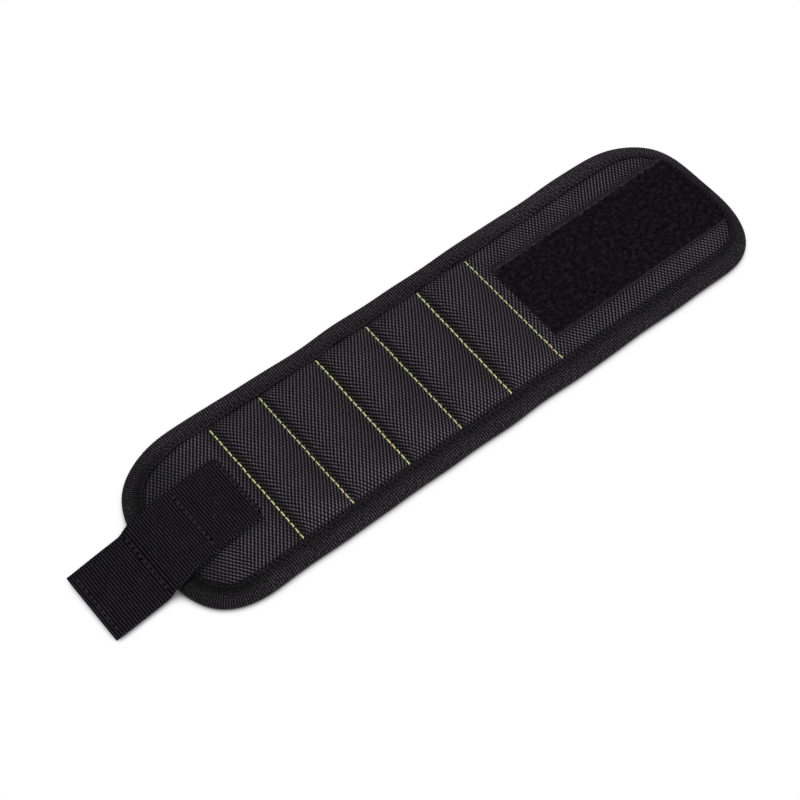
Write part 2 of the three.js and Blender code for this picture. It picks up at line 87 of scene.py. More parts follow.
TAB_END, _, TAB_BASE = box("strap_tab_webbing")[0]
(HOOK_END, _, _), (HOOK_START, _, _) = box("strap_tab_hooks")
(PAD_START, PAD_NEAR, _), (_, PAD_FAR, _) = box("loop_pad_inner")

# Outline of the ends
FLARE = box("strap_end_binding")[1][1] - HALF_WIDTH  # on the strap end's far side
FLARE_START = FOLDS[0] + 24
FLARE_LENGTH = 32
STRAP_CORNERS = {1: 57, -1: 37.5}  # lengths of the far and near corner
LOOP_CORNERS = {1: 47, -1: 29}
STRAP_TIP_SIDE = -3  # the strap end's corners meet a little on the near side
LOOP_TIP_SIDE = 0
CORNER_POWER = 2.8
CORNER_POINTS = 160

# Layers
FLANGE = HALF_WIDTH - TAPE_EDGE
TAPE = 0.9
TAPE_HALF = FLANGE + (math.pi / 4 - 0.5) * EDGE_HEIGHT  # from the fold's middle to an inner edge
TAPE_SINK = 0.55  # the tape is pressed down this far at its inner edge
TAPE_PRESSED = 6  # width over which it sinks
SEAM_DEPTH = 1.2  # binding seam from the tape's inner edge
SEAM_SINK, SEAM_REACH = 0.3, 0.8
TAPE_OVERLAP = 0.1  # tape that lies over the panel's edge
TIP_NARROWING = 5  # less tape on the face at the loop end's tip
FAR_NARROWS, NEAR_NARROWS = 45, 24  # lengths of edge before the tip over which the tape narrows
PANEL_SHIFT = 0.8  # the sewn panel sits a little to the far side
FACE = 0.8
FACE_TUCK = 7.5  # cloth hidden under the tape
FACE_STEP, FACE_POINTS = 0.75, 101
LINING_STEP, LINING_POINTS = 1.1, 75
TIP_GAP = 0.5  # the cloth ends this far before the tips
ROW_LEANS = (0.5, 0.4, 1.05, 0.7, 1.5, 0.1)  # how far each row's far end leads its near end
ROW_SHIFT = 0.23  # the sewn rows lie this far on from the folds
SEAM_ALLOWANCE = 1  # flat cloth beside a row on its pocket's side
SPANS = [(FOLDS[k], ROWS[k + 1] - SEAM_ALLOWANCE) for k in range(POCKETS)]  # crowns of the pockets
CROWN_RISE = CROWN_TOP - FACE_TOP + 0.7  # the cloth swells a little over the padding
CROWN_EDGE = TAPE_EDGE + 0.3
CROWN_LEAN = 0.6  # the cloth climbs faster on a pocket's strap side
BELLY_SHOULDER = 7
BELLY_ROUNDNESS = 3
BELLY_EDGE = TAPE_EDGE - 4
SEWN_BASE = FACE_TOP + 0.12  # underside of what is sewn on the face
BEND_ZONES = [4] * (POCKETS + 1) + [9]  # half the length over which the cloth turns at a fold

# Cloth simulation of the pockets
SWELL_COLUMNS = 19
SWELL_ROWS = 49
SWELL_SCALE = 0.05  # cloth units in a millimetre
SWELL_START, SWELL_UNEVEN = 0.6, 0.3  # height of the slack cloth, and how far it wanders
SWELL_PRESSURE = 12
SWELL_SLACK = 0.02
SWELL_FRAMES = 20

# Light and weave; a smooth step is given as where it starts, where it ends and its size
STRAP_SHADOW = ((2, 0.8, 0.68), (7, 2, 0.2))  # beside the strap's near edge
# Painted shade on the tape towards the strap end's tip.
TAPE_DIM = (20, 38, 0.35)  # towards the strap end's tip
TAPE_LIGHT, TAPE_FAR_LIGHT = 0.8, 0.12
TAPE_LOOP_LIGHT = (0, 40, 0.32)  # along the loop end's far side
TAPE_FAR_SIDE = (-10, 25)
TIP_SHADES = ((11, 35, 0.42), (31, 41, 0.45))  # strap end's cloth on the far and near side
FIRST_ROW_SHADE = (7.5, 2, 0.5)  # before the first row
ROW_SHADE = (3.1, 1.9, 0.6)  # on the steep cloth just past a row
TAPE_SHADE = (1.5, 0, 0.85)  # beside the tape
NEAR_LIGHT = (-14, -33, 0.14)  # towards the near ends of the pockets
FLAT_TIPS = ((10, 26, 0.38), (18, 30, 0.62))  # weave of the strap end on the far and near side
FLAT_ENDS = (TAPE_EDGE - 9, TAPE_EDGE - 3, 0.36)  # weave at the ends of the pockets
FLAT_LOOP_END, FLAT_UNEVEN = 0.42, 0.12  # weave of the loop end
LOOP_END_EASE = (0, 6)

# Stitching
STITCH_LENGTH = 3.47
THREAD_WIDTHS = (0.66, 0.58, 0.66, 0.58, 0.66, 0.56)  # of the yellow rows
THREAD_HEIGHT = 0.58
THREAD_SPAN = 0.6  # share of a pucker that the thread bridges
ROW_JITTER = 0.07
FINE_STITCH = 2.7
STRAP_STITCH = 3.1
FINE_THREAD = 0.42
STRAP_THREAD = 0.62
NEEDLE_HOLES = (0.9, 1.35, 1.0, 0.9)  # across the holes of each row on the strap
HOLE_DEPTHS = (-0.5, -0.15, 0.2)
HOLE_JITTER = 0.2
PUCKER_DEPTH = 0.34
PUCKER_REACH = 1.3
CREASE_DEPTH = 0.1
CREASE_PLACE, CREASE_REACH = 3.5, 2.2  # from the row
CREASE_PITCH, CREASE_SLANT = 5.5, 0.6

# Weave and rib spacings
RIB_PITCH = 1.22
RIB_HEIGHT = 0.2
RIB_STEPS = 4
WEB_PITCH = 1.36
WEB_RIB = 0.3
EDGE_RIB = 0.35  # share of a rib that is left at the webbing's edges
YARN_ALONG = 0.965
YARN_ACROSS = 1.31
MESH_PITCH = 2.6

# Strap
STRAP_WIDTH = 36.2
STRAP_POINTS = 41
STRAP_THICKNESS = 1.5
STRAP_END = SEWN_END + 2.2
STRAP_CORNER = 2.6
STRAP_LINE = (  # place along the band, middle and half width
    (-162, -4.2, 18.5),
    (-132, -1.7, 19.0),
    (-125, -1.0, 18.9),
    (-110, 1.9, 18.5),
    (-100, 3.3, 18.2),
    (-79, 4.0, 18.1),
)
STRAP_EASE = (-5, -2.5, 0, 2.5, 5)  # the lines above are averaged over these steps
STRAP_RAMP = 8.5
RAMP_TOP = STRAP_TIP + FLANGE + 3.5
TAB_DROP = (-3.4, 3)  # where the free tab leaves the tape and meets the table, from its fold
TAB_BEND = 4.4
BOX_BACK, BOX_FRONT, BOX_SIDE = 26, 1.6, 2.4  # sewn box from the strap's end and sides
TAB_ROWS = (TAB_END + 2.9, TAB_FOLD - 0.8)

# Hook strip
HOOK_MARGIN = 0.6
HOOK_GAP, HOOK_TAPE_THICKNESS = 0.06, 0.4
HOOK_PITCHES = (1.3, 1.5)
HOOK_DROP, HOOK_LEAN, HOOK_REACH, HOOK_CURL = 1.15, 0.42, 0.25, 0.35
HOOK_THREAD = 0.2

# Loop pad
PAD_TUCK, PAD_END_TUCK = 0.6, 0.45  # pad hidden under the tape beside the tip and at it
PAD_END = LOOP_TIP - FLANGE - TAPE_OVERLAP + TIP_NARROWING + PAD_END_TUCK
PAD_TRIM = 0.8  # pile brushed in from the solid's edges
PAD_MAT = 0.95
PAD_ROUND = 1.4
PAD_STEP, PAD_POINTS = 0.6, 81
PAD_FLATTENED = 5  # length that the tape presses at the tip
PILE_LOOPS = 4500
PILE_INSETS = (0.4, 1.8)  # loops stay this far from the near and far edge
FUZZ_LOOPS = 3600
FUZZ_SPREADS = (0.25, 1.0)  # about the near and far edge
PILE_STEPS = 6
PILE_THREAD = 0.13

# Foam
FOAM_ROOM = 0.25  # round a magnet
FOAM_WALL = 0.02  # half the slant of a recess's wall
FOAM_STEPS = (1.2, 1.6)
FOAM_GAP = 0.1  # under the magnets and over the lining
FACE_GAP = 0.15

# Stage, in metres and degrees
LAMPS = (  # name, place, size and power in watts
    ("key", (0, -0.18, 0.98), 0.45, 5.9),
    ("fill", (-0.3, -0.85, 0.43), 0.5, 4.6),
)
WORLD_LIGHT = 0.2  # strength of the white world where it isn't seen directly
WHITE = (1, 1, 1, 1)
FLOOR_SIZE, FLOOR_HEIGHT = 3.0, -0.1 * MM
SHADOW_REACH = 0.03
SHADOW_TILT = Vector((0.2, 0.45, 0.85)).normalized()  # the shadow falls to the near side
SHADOW_RANGE = (0.2, 0.8, 0.1)  # open sky at the darkest and at the clear floor, and the darkest level
VIEW_TARGET = Vector((0.00244, -0.00527, 0.0041))
VIEW_AZIMUTH, VIEW_ELEVATION = -38.87, 57.74
VIEW_DISTANCE = 0.9365
VIEW_LENS, VIEW_SENSOR = 95.13, 36  # millimetres of the camera

UP = np.array([0.0, 0.0, 1.0])
ACROSS = np.array([0.0, 1.0, 0.0])


def smooth(low, high, value):
    """0 at low, 1 at high, and a smooth step between them."""
    t = np.clip((value - low) / (high - low), 0, 1)
    return t * t * (3 - 2 * t)


def steps(value, *parts):
    """Sum of smooth steps, each given as where it starts, where it ends and its size."""
    return sum(size * smooth(start, end, value) for start, end, size in parts)


def wander(seed, wavelength, *places):
    """A smooth random field of about unit size, made of waves near one wavelength."""
    rng = np.random.default_rng(seed)
    waves = 7
    spread = (0.7, 1.5)
    total = 0
    for _ in range(waves):
        heading = rng.normal(size=len(places))
        heading /= np.linalg.norm(heading)
        turns = 2 * np.pi / (wavelength * rng.uniform(*spread))
        phase = rng.uniform(0, 2 * np.pi)
        total = total + np.sin(turns * sum(h * p for h, p in zip(heading, places)) + phase)
    return total * math.sqrt(2 / waves)


def unit(vectors):
    return vectors / np.maximum(np.linalg.norm(vectors, axis=-1, keepdims=True), 1e-12)


def join(*parts):
    """Points from their coordinates, which are spread to one shape."""
    return np.stack(np.broadcast_arrays(*parts), -1)


def run_of(path):
    """Length along a path up to each of its points."""
    return np.concatenate([[0], np.cumsum(np.linalg.norm(np.diff(path, axis=0), axis=1))])


def link(name, data):
    """A new object in the scene."""
    made = bpy.data.objects.new(name, data)
    bpy.context.scene.collection.objects.link(made)
    return made


def make_piece(name, points, faces, flat, material, bake, normals=None):
    """A smooth mesh object from points in millimetres; flat and bake hold a place per face corner."""
    mesh = bpy.data.meshes.new(name)
    mesh.from_pydata((points * MM).tolist(), [], faces)
    for label, places in (("flat", flat), ("OFBake", bake)):
        layer = mesh.uv_layers.new(name=label, do_init=False)
        layer.uv.foreach_set("vector", places.astype(np.float32).ravel())
    mesh.polygons.foreach_set("use_smooth", np.ones(len(mesh.polygons), bool))
    if normals is not None:
        mesh.normals_split_custom_set_from_vertices(normals.tolist())
    mesh.materials.append(material)
    return link(name, mesh)


def ring_faces(rows, loop):
    """Faces between rows of closed loops, and the row and place in the loop of each face's corners."""
    i, j = np.meshgrid(np.arange(rows - 1), np.arange(loop), indexing="ij")
    corners = [(i + a, j + b) for a, b in ((0, 0), (1, 0), (1, 1), (0, 1))]
    faces = join(*(row * loop + place % loop for row, place in corners)).reshape(-1, 4)
    places = np.stack([join(row, place) for row, place in corners], 2).reshape(-1, 2)
    return faces, places


class Sheet:
    """A closed sheet: a grid of points on its outer side, one on its inner side, and flat cloth places."""

    def __init__(self, outer, inner, flat):
        self.loops = np.concatenate([outer, inner[:, ::-1]], axis=1)
        self.flat = np.concatenate([flat, flat[:, ::-1]], axis=1)
        along = np.gradient(self.loops, axis=0)
        round_ = np.roll(self.loops, -1, axis=1) - np.roll(self.loops, 1, axis=1)
        self.normals = unit(np.cross(along, round_))

    def piece(self, name, material, first=0, last=None):
        """The rows from first to last as one object, closed at both ends."""
        rows = slice(first, len(self.loops) if last is None else last + 1)
        loops, flat = self.loops[rows], self.flat[rows]
        count, loop = loops.shape[:2]
        quads, places = ring_faces(count, loop)
        k = np.arange(loop // 2 - 1)
        cap = join(k, k + 1, loop - 2 - k, loop - 1 - k)
        faces = np.concatenate([quads, cap, (cap + (count - 1) * loop)[:, ::-1]])
        caps_bake = np.repeat([[0.0, 0.0], [1.0, 0.0]], cap.size, axis=0)
        return make_piece(
            name,
            loops.reshape(-1, 3),
            faces.tolist(),
            flat.reshape(-1, 2)[faces.ravel()],
            material,
            np.concatenate([places / [count - 1, loop], caps_bake]),
            self.normals[rows].reshape(-1, 3),
        )


def cloth_sheet(x, y, outer, inner, flat=None):
    """A sheet between two heights over places along and across the band."""
    return Sheet(join(x, y, outer), join(x, y, inner), join(x, y) if flat is None else flat)


def tubes(name, paths, width, height, material, sides=6, reference=UP):
    """Many closed tubes in one object; paths holds tubes x steps x 3 points."""
    count, length, _ = paths.shape
    along = unit(np.gradient(paths, axis=1))
    side = unit(np.cross(reference, along))
    lift = np.cross(side, along)
    angle = 2 * np.pi * np.arange(sides) / sides
    ring = (
        width / 2 * np.cos(angle)[:, None] * side[:, :, None]
        + height / 2 * np.sin(angle)[:, None] * lift[:, :, None]
    )
    points = paths[:, :, None] + ring
    quads, places = ring_faces(length, sides)
    turn = places / [1, sides]
    start = np.arange(sides)
    end = (length - 1) * sides + start[::-1]
    step = np.linalg.norm(np.diff(paths[0], axis=0), axis=1).mean()
    tiles = math.ceil(math.sqrt(count))
    tile_fill = 0.96
    faces, flat, bake = [], [], []
    zero = np.zeros((2 * sides, 2))
    for k in range(count):
        offset = k * length * sides
        faces += (quads + offset).tolist()
        faces += [(start + offset).tolist(), (end + offset).tolist()]
        flat += [turn * [step, 1] + [k * length * step, 0], zero]
        corner = np.array([k % tiles, k // tiles]) / tiles
        bake += [corner + turn / [length - 1, 1] * tile_fill / tiles, zero + corner]
    return make_piece(
        name, points.reshape(-1, 3), faces, np.concatenate(flat), material, np.concatenate(bake)
    )


def bend(piece, fold):
    """Bakes a piece's place into its mesh; the turning zone at one of its folds is worked out but not used.
    """
    zone = BEND_ZONES[fold]
    start = ((FOLDS[fold] - zone) * MM, 0, FOLD_HEIGHT * MM)
    end = ((FOLDS[fold] + zone) * MM, 0, FOLD_HEIGHT * MM)
    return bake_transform(piece)


def bend_tab(piece):
    """Bakes a strap piece's place into its mesh; the turning zone at the tab's fold is worked out but not
    used.
    """
    start = ((TAB_FOLD + TAB_BEND) * MM, 0, TAB_FOLD_HEIGHT * MM)
    end = ((TAB_FOLD - TAB_BEND) * MM, 0, TAB_FOLD_HEIGHT * MM)
    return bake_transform(piece)


# Materials: grain sizes and bump depths are in millimetres, and colours are linear

class Value:
    """A number or colour in a node tree, which takes plain arithmetic."""

    def __init__(self, nodes, socket):
        self.nodes = nodes
        self.socket = socket

    def __add__(self, other):
        return self.nodes.math("ADD", self, other)

    def __sub__(self, number):
        return self + -number

    def __rsub__(self, number):
        return self.nodes.math("SUBTRACT", number, self)

    def __mul__(self, other):
        return self.nodes.math("MULTIPLY", self, other)

    def __abs__(self):
        return self.nodes.math("ABSOLUTE", self)

    def step(self, low, high, start=0.0, end=1.0):
        """Maps low to high onto start to end with a smooth step."""
        inputs = {"Value": self, "From Min": low, "From Max": high, "To Min": start, "To Max": end}
        return self.nodes.add("MapRange", "Result", inputs, interpolation_type="SMOOTHSTEP")


class Nodes:
    """A node tree that is built with short calls."""

    def __init__(self, tree):
        self.tree = tree

    def put(self, socket, value):
        """Links a value to a socket, or sets the socket to a plain number or colour."""
        if isinstance(value, Value):
            self.tree.links.new(value.socket, socket)
        else:
            socket.default_value = value

    def add(self, kind, output, inputs=(), **settings):
        """One output of a new node."""
        made = self.tree.nodes.new(f"ShaderNode{kind}")
        for label, value in settings.items():
            setattr(made, label, value)
        for label, value in dict(inputs).items():
            self.put(made.inputs[label], value)
        return Value(self, made.outputs[output])

    def math(self, operation, *values):
        return self.add("Math", 0, enumerate(values), operation=operation)


class Surface(Nodes):
    """A material that knows its place on the flat cloth."""

    def __init__(self, name, **constants):
        self.material = bpy.data.materials.new(name)
        self.material.use_nodes = True
        super().__init__(self.material.node_tree)
        self.shader = self.tree.nodes["Principled BSDF"]
        for label, value in constants.items():
            self.shader.inputs[label.replace("_", " ")].default_value = value
        self.place = self.add("UVMap", "UV", uv_map="flat")
        self.along, self.across = (self.add("SeparateXYZ", axis, {"Vector": self.place}) for axis in "XY")

    def wave(self, along, across, shift=0.0):
        """Cosine of so many turns per millimetre along and across the cloth."""
        phase = self.along * (2 * math.pi * along) + self.across * (2 * math.pi * across) + shift
        return self.math("COSINE", phase)

    def noise(self, size, detail=2.0, stretch=(1.0, 1.0)):
        """Noise with grains of about this size, stretched along and across the cloth."""
        scale = (1 / (size * stretch[0]), 1 / (size * stretch[1]), 1.0)
        place = self.add("Mapping", "Vector", {"Vector": self.place, "Scale": scale})
        return self.add("TexNoise", "Fac", {"Vector": place, "Scale": 1.0, "Detail": detail})

    def stored(self, label):
        """A value that is kept on the points of the mesh."""
        return self.add("Attribute", "Fac", attribute_name=label)

    def colours(self, value, *stops):
        """Colour ramp over pairs of place and colour."""
        made = self.add("ValToRGB", "Color", {"Fac": value})
        elements = made.socket.node.color_ramp.elements
        while len(elements) < len(stops):
            elements.new(0.5)
        for element, (place, colour) in zip(elements, stops):
            element.position = place
            element.color = (*colour, 1)
        return made

    def tint(self, colour, value):
        """Colour times a value."""
        return self.add("VectorMath", "Vector", {0: colour, "Scale": value}, operation="SCALE")

    def finish(self, colour, roughness, *bumps):
        """Joins the colour, the roughness and bumps of height and depth to the shader."""
        self.put(self.shader.inputs["Base Color"], colour)
        self.put(self.shader.inputs["Roughness"], roughness)
        socket = self.shader.inputs["Normal"]
        for height, depth in reversed(bumps):
            made = self.add("Bump", "Normal", {"Height": height, "Distance": depth * MM, "Strength": 1.0})
            self.put(socket, made)
            socket = made.socket.node.inputs["Normal"]
        return self.material


def grey(level, blue=1.12, green=0.89):
    """A near-black that leans a little to violet."""
    return (level, level * green, level * blue)


def face_material():
    cloth = Surface("face_cloth", Specular_IOR_Level=0.09)
    wobble = cloth.noise(2.0, 3.0) * 2.2
    along, across = 0.5 / YARN_ALONG, 0.5 / YARN_ACROSS
    falling = cloth.wave(along, -across, wobble)
    rising = cloth.wave(along, across, wobble)
    climb = cloth.stored("climb")
    share = climb.step(0.22, 0.6, 0.69, 0.34)
    checker = falling * share + rising * (1.0 - share)
    yarn = checker.step(-0.3, 0.8)
    patches = cloth.noise(14.0) * 0.4 + cloth.noise(0.9, 1.0) * 0.7 + 0.4
    # Painted shade where the cloth falls towards the next row, times the painted light and shade kept on the
    # points as shade.
    tone = patches * (climb.step(-0.45, 0.0, 0.75, 1.0) * cloth.stored("shade"))
    # The weave's own pattern, with painted highlight on the yarn tops and painted shade in the gaps between
    # them.
    colour = cloth.colours(yarn, (0.0, grey(0.0006)), (0.4, grey(0.0055)), (1.0, grey(0.103)))
    rough = yarn.step(0.0, 1.0, 0.8, 0.5)
    fibre = cloth.noise(0.16, 2.0, (1.0, 3.0))
    return cloth.finish(cloth.tint(colour, tone), rough, (checker, 0.1), (fibre, 0.02))


def tape_material():
    """Grosgrain: the ribs are in the mesh, and fine yarns run along the tape."""
    tape = Surface("binding_tape", Specular_IOR_Level=0.05)
    rib = tape.wave(1 / RIB_PITCH, 0.0, math.pi)
    yarn = tape.wave(0.5 / RIB_PITCH, 1.0, tape.noise(1.2) * 2.5)
    inset = TAPE_HALF - abs(tape.across)
    marks = tape.wave(1 / FINE_STITCH, 0.2) * inset.step(3.6, 2.6, 0.0, 0.25)
    level = rib * 0.42 + yarn * 0.2 + marks + tape.noise(0.8, 3.0) * 2.7 - 0.9
    # Painted shade: the tape darkens towards its inner edge, where it is pressed down to the cloth.
    pressed = inset.step(5.5, 2.0, 1.1, 0.75)
    # Painted shade in the groove of the binding seam.
    groove_shade = abs(inset - SEAM_DEPTH).step(0.3, 0.8, 0.5, 1.0)
    # Painted highlight along the tape's lip, just inside its inner edge.
    lip_highlight = inset.step(1.1, 0.6, 1.0, 1.5)
    # Painted shadow: a dark line at the very inner edge of the tape.
    rim = inset.step(0.4, 0.05, 1.0, 0.05)
    shade = tape.stored("shade")
    # Painted shade, deepened on the inner part of the tape where the kept shade is low.
    hollow_shade = tape.math("POWER", tape.math("MINIMUM", shade, 1.0), inset.step(6.5, 2.5, 0.0, 1.5))
    tone = (tape.noise(9.0) * 0.8 + 0.6) * pressed * groove_shade * lip_highlight * rim * shade * hollow_shade
    # The tape's own tone, with painted shade in the grooves between the mesh's ribs.
    colour = tape.colours(
        level, (0.0, grey(0.0004, 1.0)), (0.5, grey(0.0045, 1.0)), (1.0, grey(0.072, 1.0))
    )
    return tape.finish(tape.tint(colour, tone), 0.6, (yarn, 0.06), (tape.noise(0.2), 0.04))


def webbing_material():
    """Ribbed webbing: the ribs are in the mesh, with painted shade in the gaps between them."""
    web = Surface("webbing", Specular_IOR_Level=0.03)
    rib = web.wave(1 / WEB_PITCH, 0.0, math.pi)
    yarn = web.wave(0.5 / WEB_PITCH, 0.85, web.noise(1.5) * 2.5)
    level = rib * 0.42 + yarn * 0.16 + web.noise(0.8) * 1.1 - 0.08
    tone = web.noise(8.0) * 0.6 + 0.6
    # The webbing's own tone, with painted shade in the gaps between the ribs.
    colour = web.colours(level, (0.0, grey(0.0002)), (0.5, grey(0.0017)), (1.0, grey(0.037)))
    fibre = web.noise(0.2, 2.0, (3.0, 1.0))
    return web.finish(web.tint(colour, tone), 0.6, (yarn, 0.05), (fibre, 0.04))


def pile_material(name, dark, middle, light, pale):
    """Brushed loop pile: a matte mat of loops in blotches, with paler rims."""
    pile = Surface(name, Specular_IOR_Level=0.02)
    blotch = pile.noise(2.4, 3.0)
    loops = pile.noise(0.5, 3.0)
    near, far = PAD_NEAR + PAD_TRIM, PAD_FAR - PAD_TRIM
    near_rim = pile.across.step(near + 0.7, near + 0.1)
    far_rim = (pile.across + blotch * 3.0 - 1.5).step(far - 2.2, far - 0.4)
    level = blotch * 0.55 + loops + near_rim * 0.42 + far_rim * 0.32 - 0.28
    colour = pile.colours(level, (0.3, dark), (0.5, middle), (0.75, light), (1.0, pale))
    return pile.finish(colour, 0.95, (loops, 0.35), (blotch, 0.4))


def lining_material():
    """Knitted air mesh with round holes in a hexagonal lattice."""
    mesh = Surface("air_mesh", Specular_IOR_Level=0.08)
    headings = [math.radians(angle) for angle in (0, 60, 120)]
    first, second, third = (mesh.wave(math.cos(h) / MESH_PITCH, math.sin(h) / MESH_PITCH) for h in headings)
    knit = (first + second + third).step(0.4, 1.6, 1.0, 0.0)
    loops = mesh.noise(0.35)
    level = knit * 0.6 + loops * 0.5 - 0.05
    colour = mesh.colours(level, (0.0, grey(0.003)), (0.5, grey(0.02)), (1.0, grey(0.05)))
    return mesh.finish(colour, 0.9, (knit, 0.5), (loops, 0.12))


def thread_material(name, dark, light, gloss=0.15):
    """Twisted sewing thread: plies wind round the stitch."""
    thread = Surface(name, Specular_IOR_Level=gloss)
    twist = thread.wave(1.1, 2.0)
    level = twist * 0.22 + thread.noise(0.5) * 0.5 + 0.28
    colour = thread.colours(level, (0.0, dark), (1.0, light))
    return thread.finish(colour, 0.55, (twist, 0.12))


def hook_material():
    """Woven nylon under stiff hooks."""
    hook = Surface("hook_tape", Specular_IOR_Level=0.2)
    weave = hook.wave(0.8, 0.0) * hook.wave(0.0, 0.8)
    level = weave * 0.25 + hook.noise(0.6) * 0.6 + 0.2
    colour = hook.colours(level, (0.0, grey(0.004)), (1.0, grey(0.022)))
    return hook.finish(colour, 0.45, (weave, 0.1))


def foam_material():
    """Open foam with fine cells."""
    foam = Surface("foam", Specular_IOR_Level=0.2)
    cells = foam.noise(0.6, 3.0)
    colour = foam.colours(cells, (0.3, (0.05, 0.05, 0.052)), (0.7, (0.16, 0.16, 0.165)))
    return foam.finish(colour, 0.95, (cells, 0.4))


def nickel_material():
    """Plated magnet blocks: fine grain in the plating and a few dull patches."""
    nickel = Surface("nickel", Metallic=1.0)
    place = nickel.add("TexCoord", "Object")
    grain = nickel.add("TexNoise", "Fac", {"Vector": place, "Scale": 900.0, "Detail": 3.0})
    patch = nickel.add("TexNoise", "Fac", {"Vector": place, "Scale": 130.0, "Detail": 2.0})
    colour = nickel.colours(patch, (0.3, (0.5, 0.5, 0.49)), (0.7, (0.6, 0.6, 0.58)))
    return nickel.finish(colour, patch.step(0.3, 0.7, 0.22, 0.38), (grain, 0.02))


FACE_CLOTH = face_material()
TAPE_CLOTH = tape_material()
WEBBING = webbing_material()
PILE = pile_material(
    "loop_pile", grey(0.0012, 1.2), grey(0.0065, 1.2), grey(0.034, 1.2), grey(0.085, 1.1)
)
FUZZ = pile_material("loop_fuzz", grey(0.02), grey(0.05), grey(0.13), grey(0.2))
AIR_MESH = lining_material()
YELLOW_THREAD = thread_material("yellow_thread", (0.74, 0.73, 0.24), (0.97, 0.96, 0.5))
BLACK_THREAD = thread_material("black_thread", grey(0.004), grey(0.036), 0.05)
GREY_THREAD = thread_material("grey_thread", grey(0.009), grey(0.055), 0.05)
# Not thread: near-black discs that paint the shade inside the strap's needle holes.
HOLE_SHADE = thread_material("needle_hole", grey(0.0008), grey(0.003), 0.0)
HOOK_TAPE = hook_material()
FOAM = foam_material()
NICKEL = nickel_material()


# Outline of the band

def half_width(x, side):
    """Half of the band's width on one side, with the flare of the strap end's far side."""
    flare = FLARE if side > 0 else 0
    return HALF_WIDTH + flare * smooth(FLARE_START, FLARE_START - FLARE_LENGTH, x)


def corner_path(tip, tip_side, inward, length, side):
    """One rounded corner of an end, from the tip to the straight side."""
    angle = np.linspace(0, 1, CORNER_POINTS) ** 2 * (np.pi / 2)
    reach = np.maximum(np.cos(angle), 0) ** (2 / CORNER_POWER)
    x = tip + inward * length * (1 - reach)
    y = tip_side + (side * half_width(x, side) - tip_side) * np.sin(angle) ** (2 / CORNER_POWER)
    return join(x, y)


def edge_path(side):
    """One long edge of the band from the strap end's tip to the loop end's tip."""
    strap = corner_path(STRAP_TIP, STRAP_TIP_SIDE, 1, STRAP_CORNERS[side], side)
    loop = corner_path(LOOP_TIP, LOOP_TIP_SIDE, -1, LOOP_CORNERS[side], side)
    x = np.linspace(strap[-1, 0], loop[-1, 0], CORNER_POINTS)[1:-1]
    return np.concatenate([strap, join(x, side * half_width(x, side)), loop[::-1]])


EDGES = {side: edge_path(side) for side in (1, -1)}


def stretch_of_edge(side, start, end):
    """The part of a long edge between two places along the band."""
    path = EDGES[side]
    inside = path[(path[:, 0] > start) & (path[:, 0] < end)]
    clip = [[x, np.interp(x, path[:, 0], path[:, 1])] for x in (start, end)]
    first = [] if start <= STRAP_TIP else [clip[0]]
    last = [] if end >= LOOP_TIP else [clip[1]]
    return np.array([*first, *inside.tolist(), *last])


def resampled(path, step, multiple=1):
    """Points at even steps along a path, in a whole number of multiples."""
    run = run_of(path)
    count = max(1, round(run[-1] / (step * multiple))) * multiple
    at = np.linspace(0, run[-1], count + 1)
    return join(*(np.interp(at, run, values) for values in path.T))


def inward(path):
    """Unit vectors to the left of a path, which runs anticlockwise round the band."""
    along = unit(np.gradient(path, axis=0))
    return join(-along[:, 1], along[:, 0])


def edge_at(depth, side, x):
    """Place across the band of an edge moved in by depth, which may change along the edge."""
    path = EDGES[side]
    moved = path + side * -inward(path) * np.reshape(depth, (-1, 1))
    return np.interp(x, moved[:, 0], moved[:, 1])


def tape_reach(x, y):
    """How far in from a place on the outline the tape reaches on the face."""
    length = np.where(y > 0, FAR_NARROWS, NEAR_NARROWS)
    narrower = TIP_NARROWING * np.clip(1 - (LOOP_TIP - x) / length, 0, 1) ** 2
    return FLANGE + TAPE_OVERLAP - PANEL_SHIFT * y / HALF_WIDTH - narrower


def panel_edges(x, tuck=0.0):
    """Near and far edge of what shows between the tape's inner edges, or a little under them."""
    return [edge_at(tape_reach(*EDGES[side].T) - tuck, side, x) for side in (-1, 1)]


def columns_between(places, step):
    """Even columns between the given places along the band, which are all kept."""
    stretches = [
        np.linspace(a, b, max(2, round((b - a) / step) + 1))[:-1] for a, b in zip(places[:-1], places[1:])
    ]
    return np.concatenate([*stretches, [places[-1]]])


def band_grid(step, count):
    """Places along the band, and so many places across it at each of them, from near to far edge."""
    depth = FLANGE - FACE_TUCK
    start, end = STRAP_TIP + depth + TIP_GAP, LOOP_TIP - depth - TIP_GAP
    columns = columns_between(sorted([start, end, *CUTS, *ROWS, *FOLDS]), step)
    near, far = (edge_at(depth, side, columns)[:, None] for side in (-1, 1))
    return columns, near + (far - near) * np.linspace(0, 1, count)


def add_layer(kind, sheet, columns, material):
    """One layer of the band, split half way between its folds into one segment for each fold."""
    marks = [0, *(int(np.argmin(np.abs(columns - cut))) for cut in CUTS), len(columns) - 1]
    made = []
    for fold, (first, last) in enumerate(zip(marks[:-1], marks[1:])):
        piece = sheet.piece(f"{kind}_{fold + 1}", material, first, last)
        bend(piece, fold)
        bodies = CHAIN[fold:] if fold == LAST_FOLD else [CHAIN[fold]]
        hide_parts(*(f"{body}_{kind}" for body in bodies))
        made.append(piece)
    return made


# Face

def lean(x, y):
    """How far the rows' place and slant move the cloth along the band."""
    return ROW_SHIFT + np.interp(x, ROWS, ROW_LEANS) * (y - PANEL_SHIFT) / (2 * TAPE_EDGE)


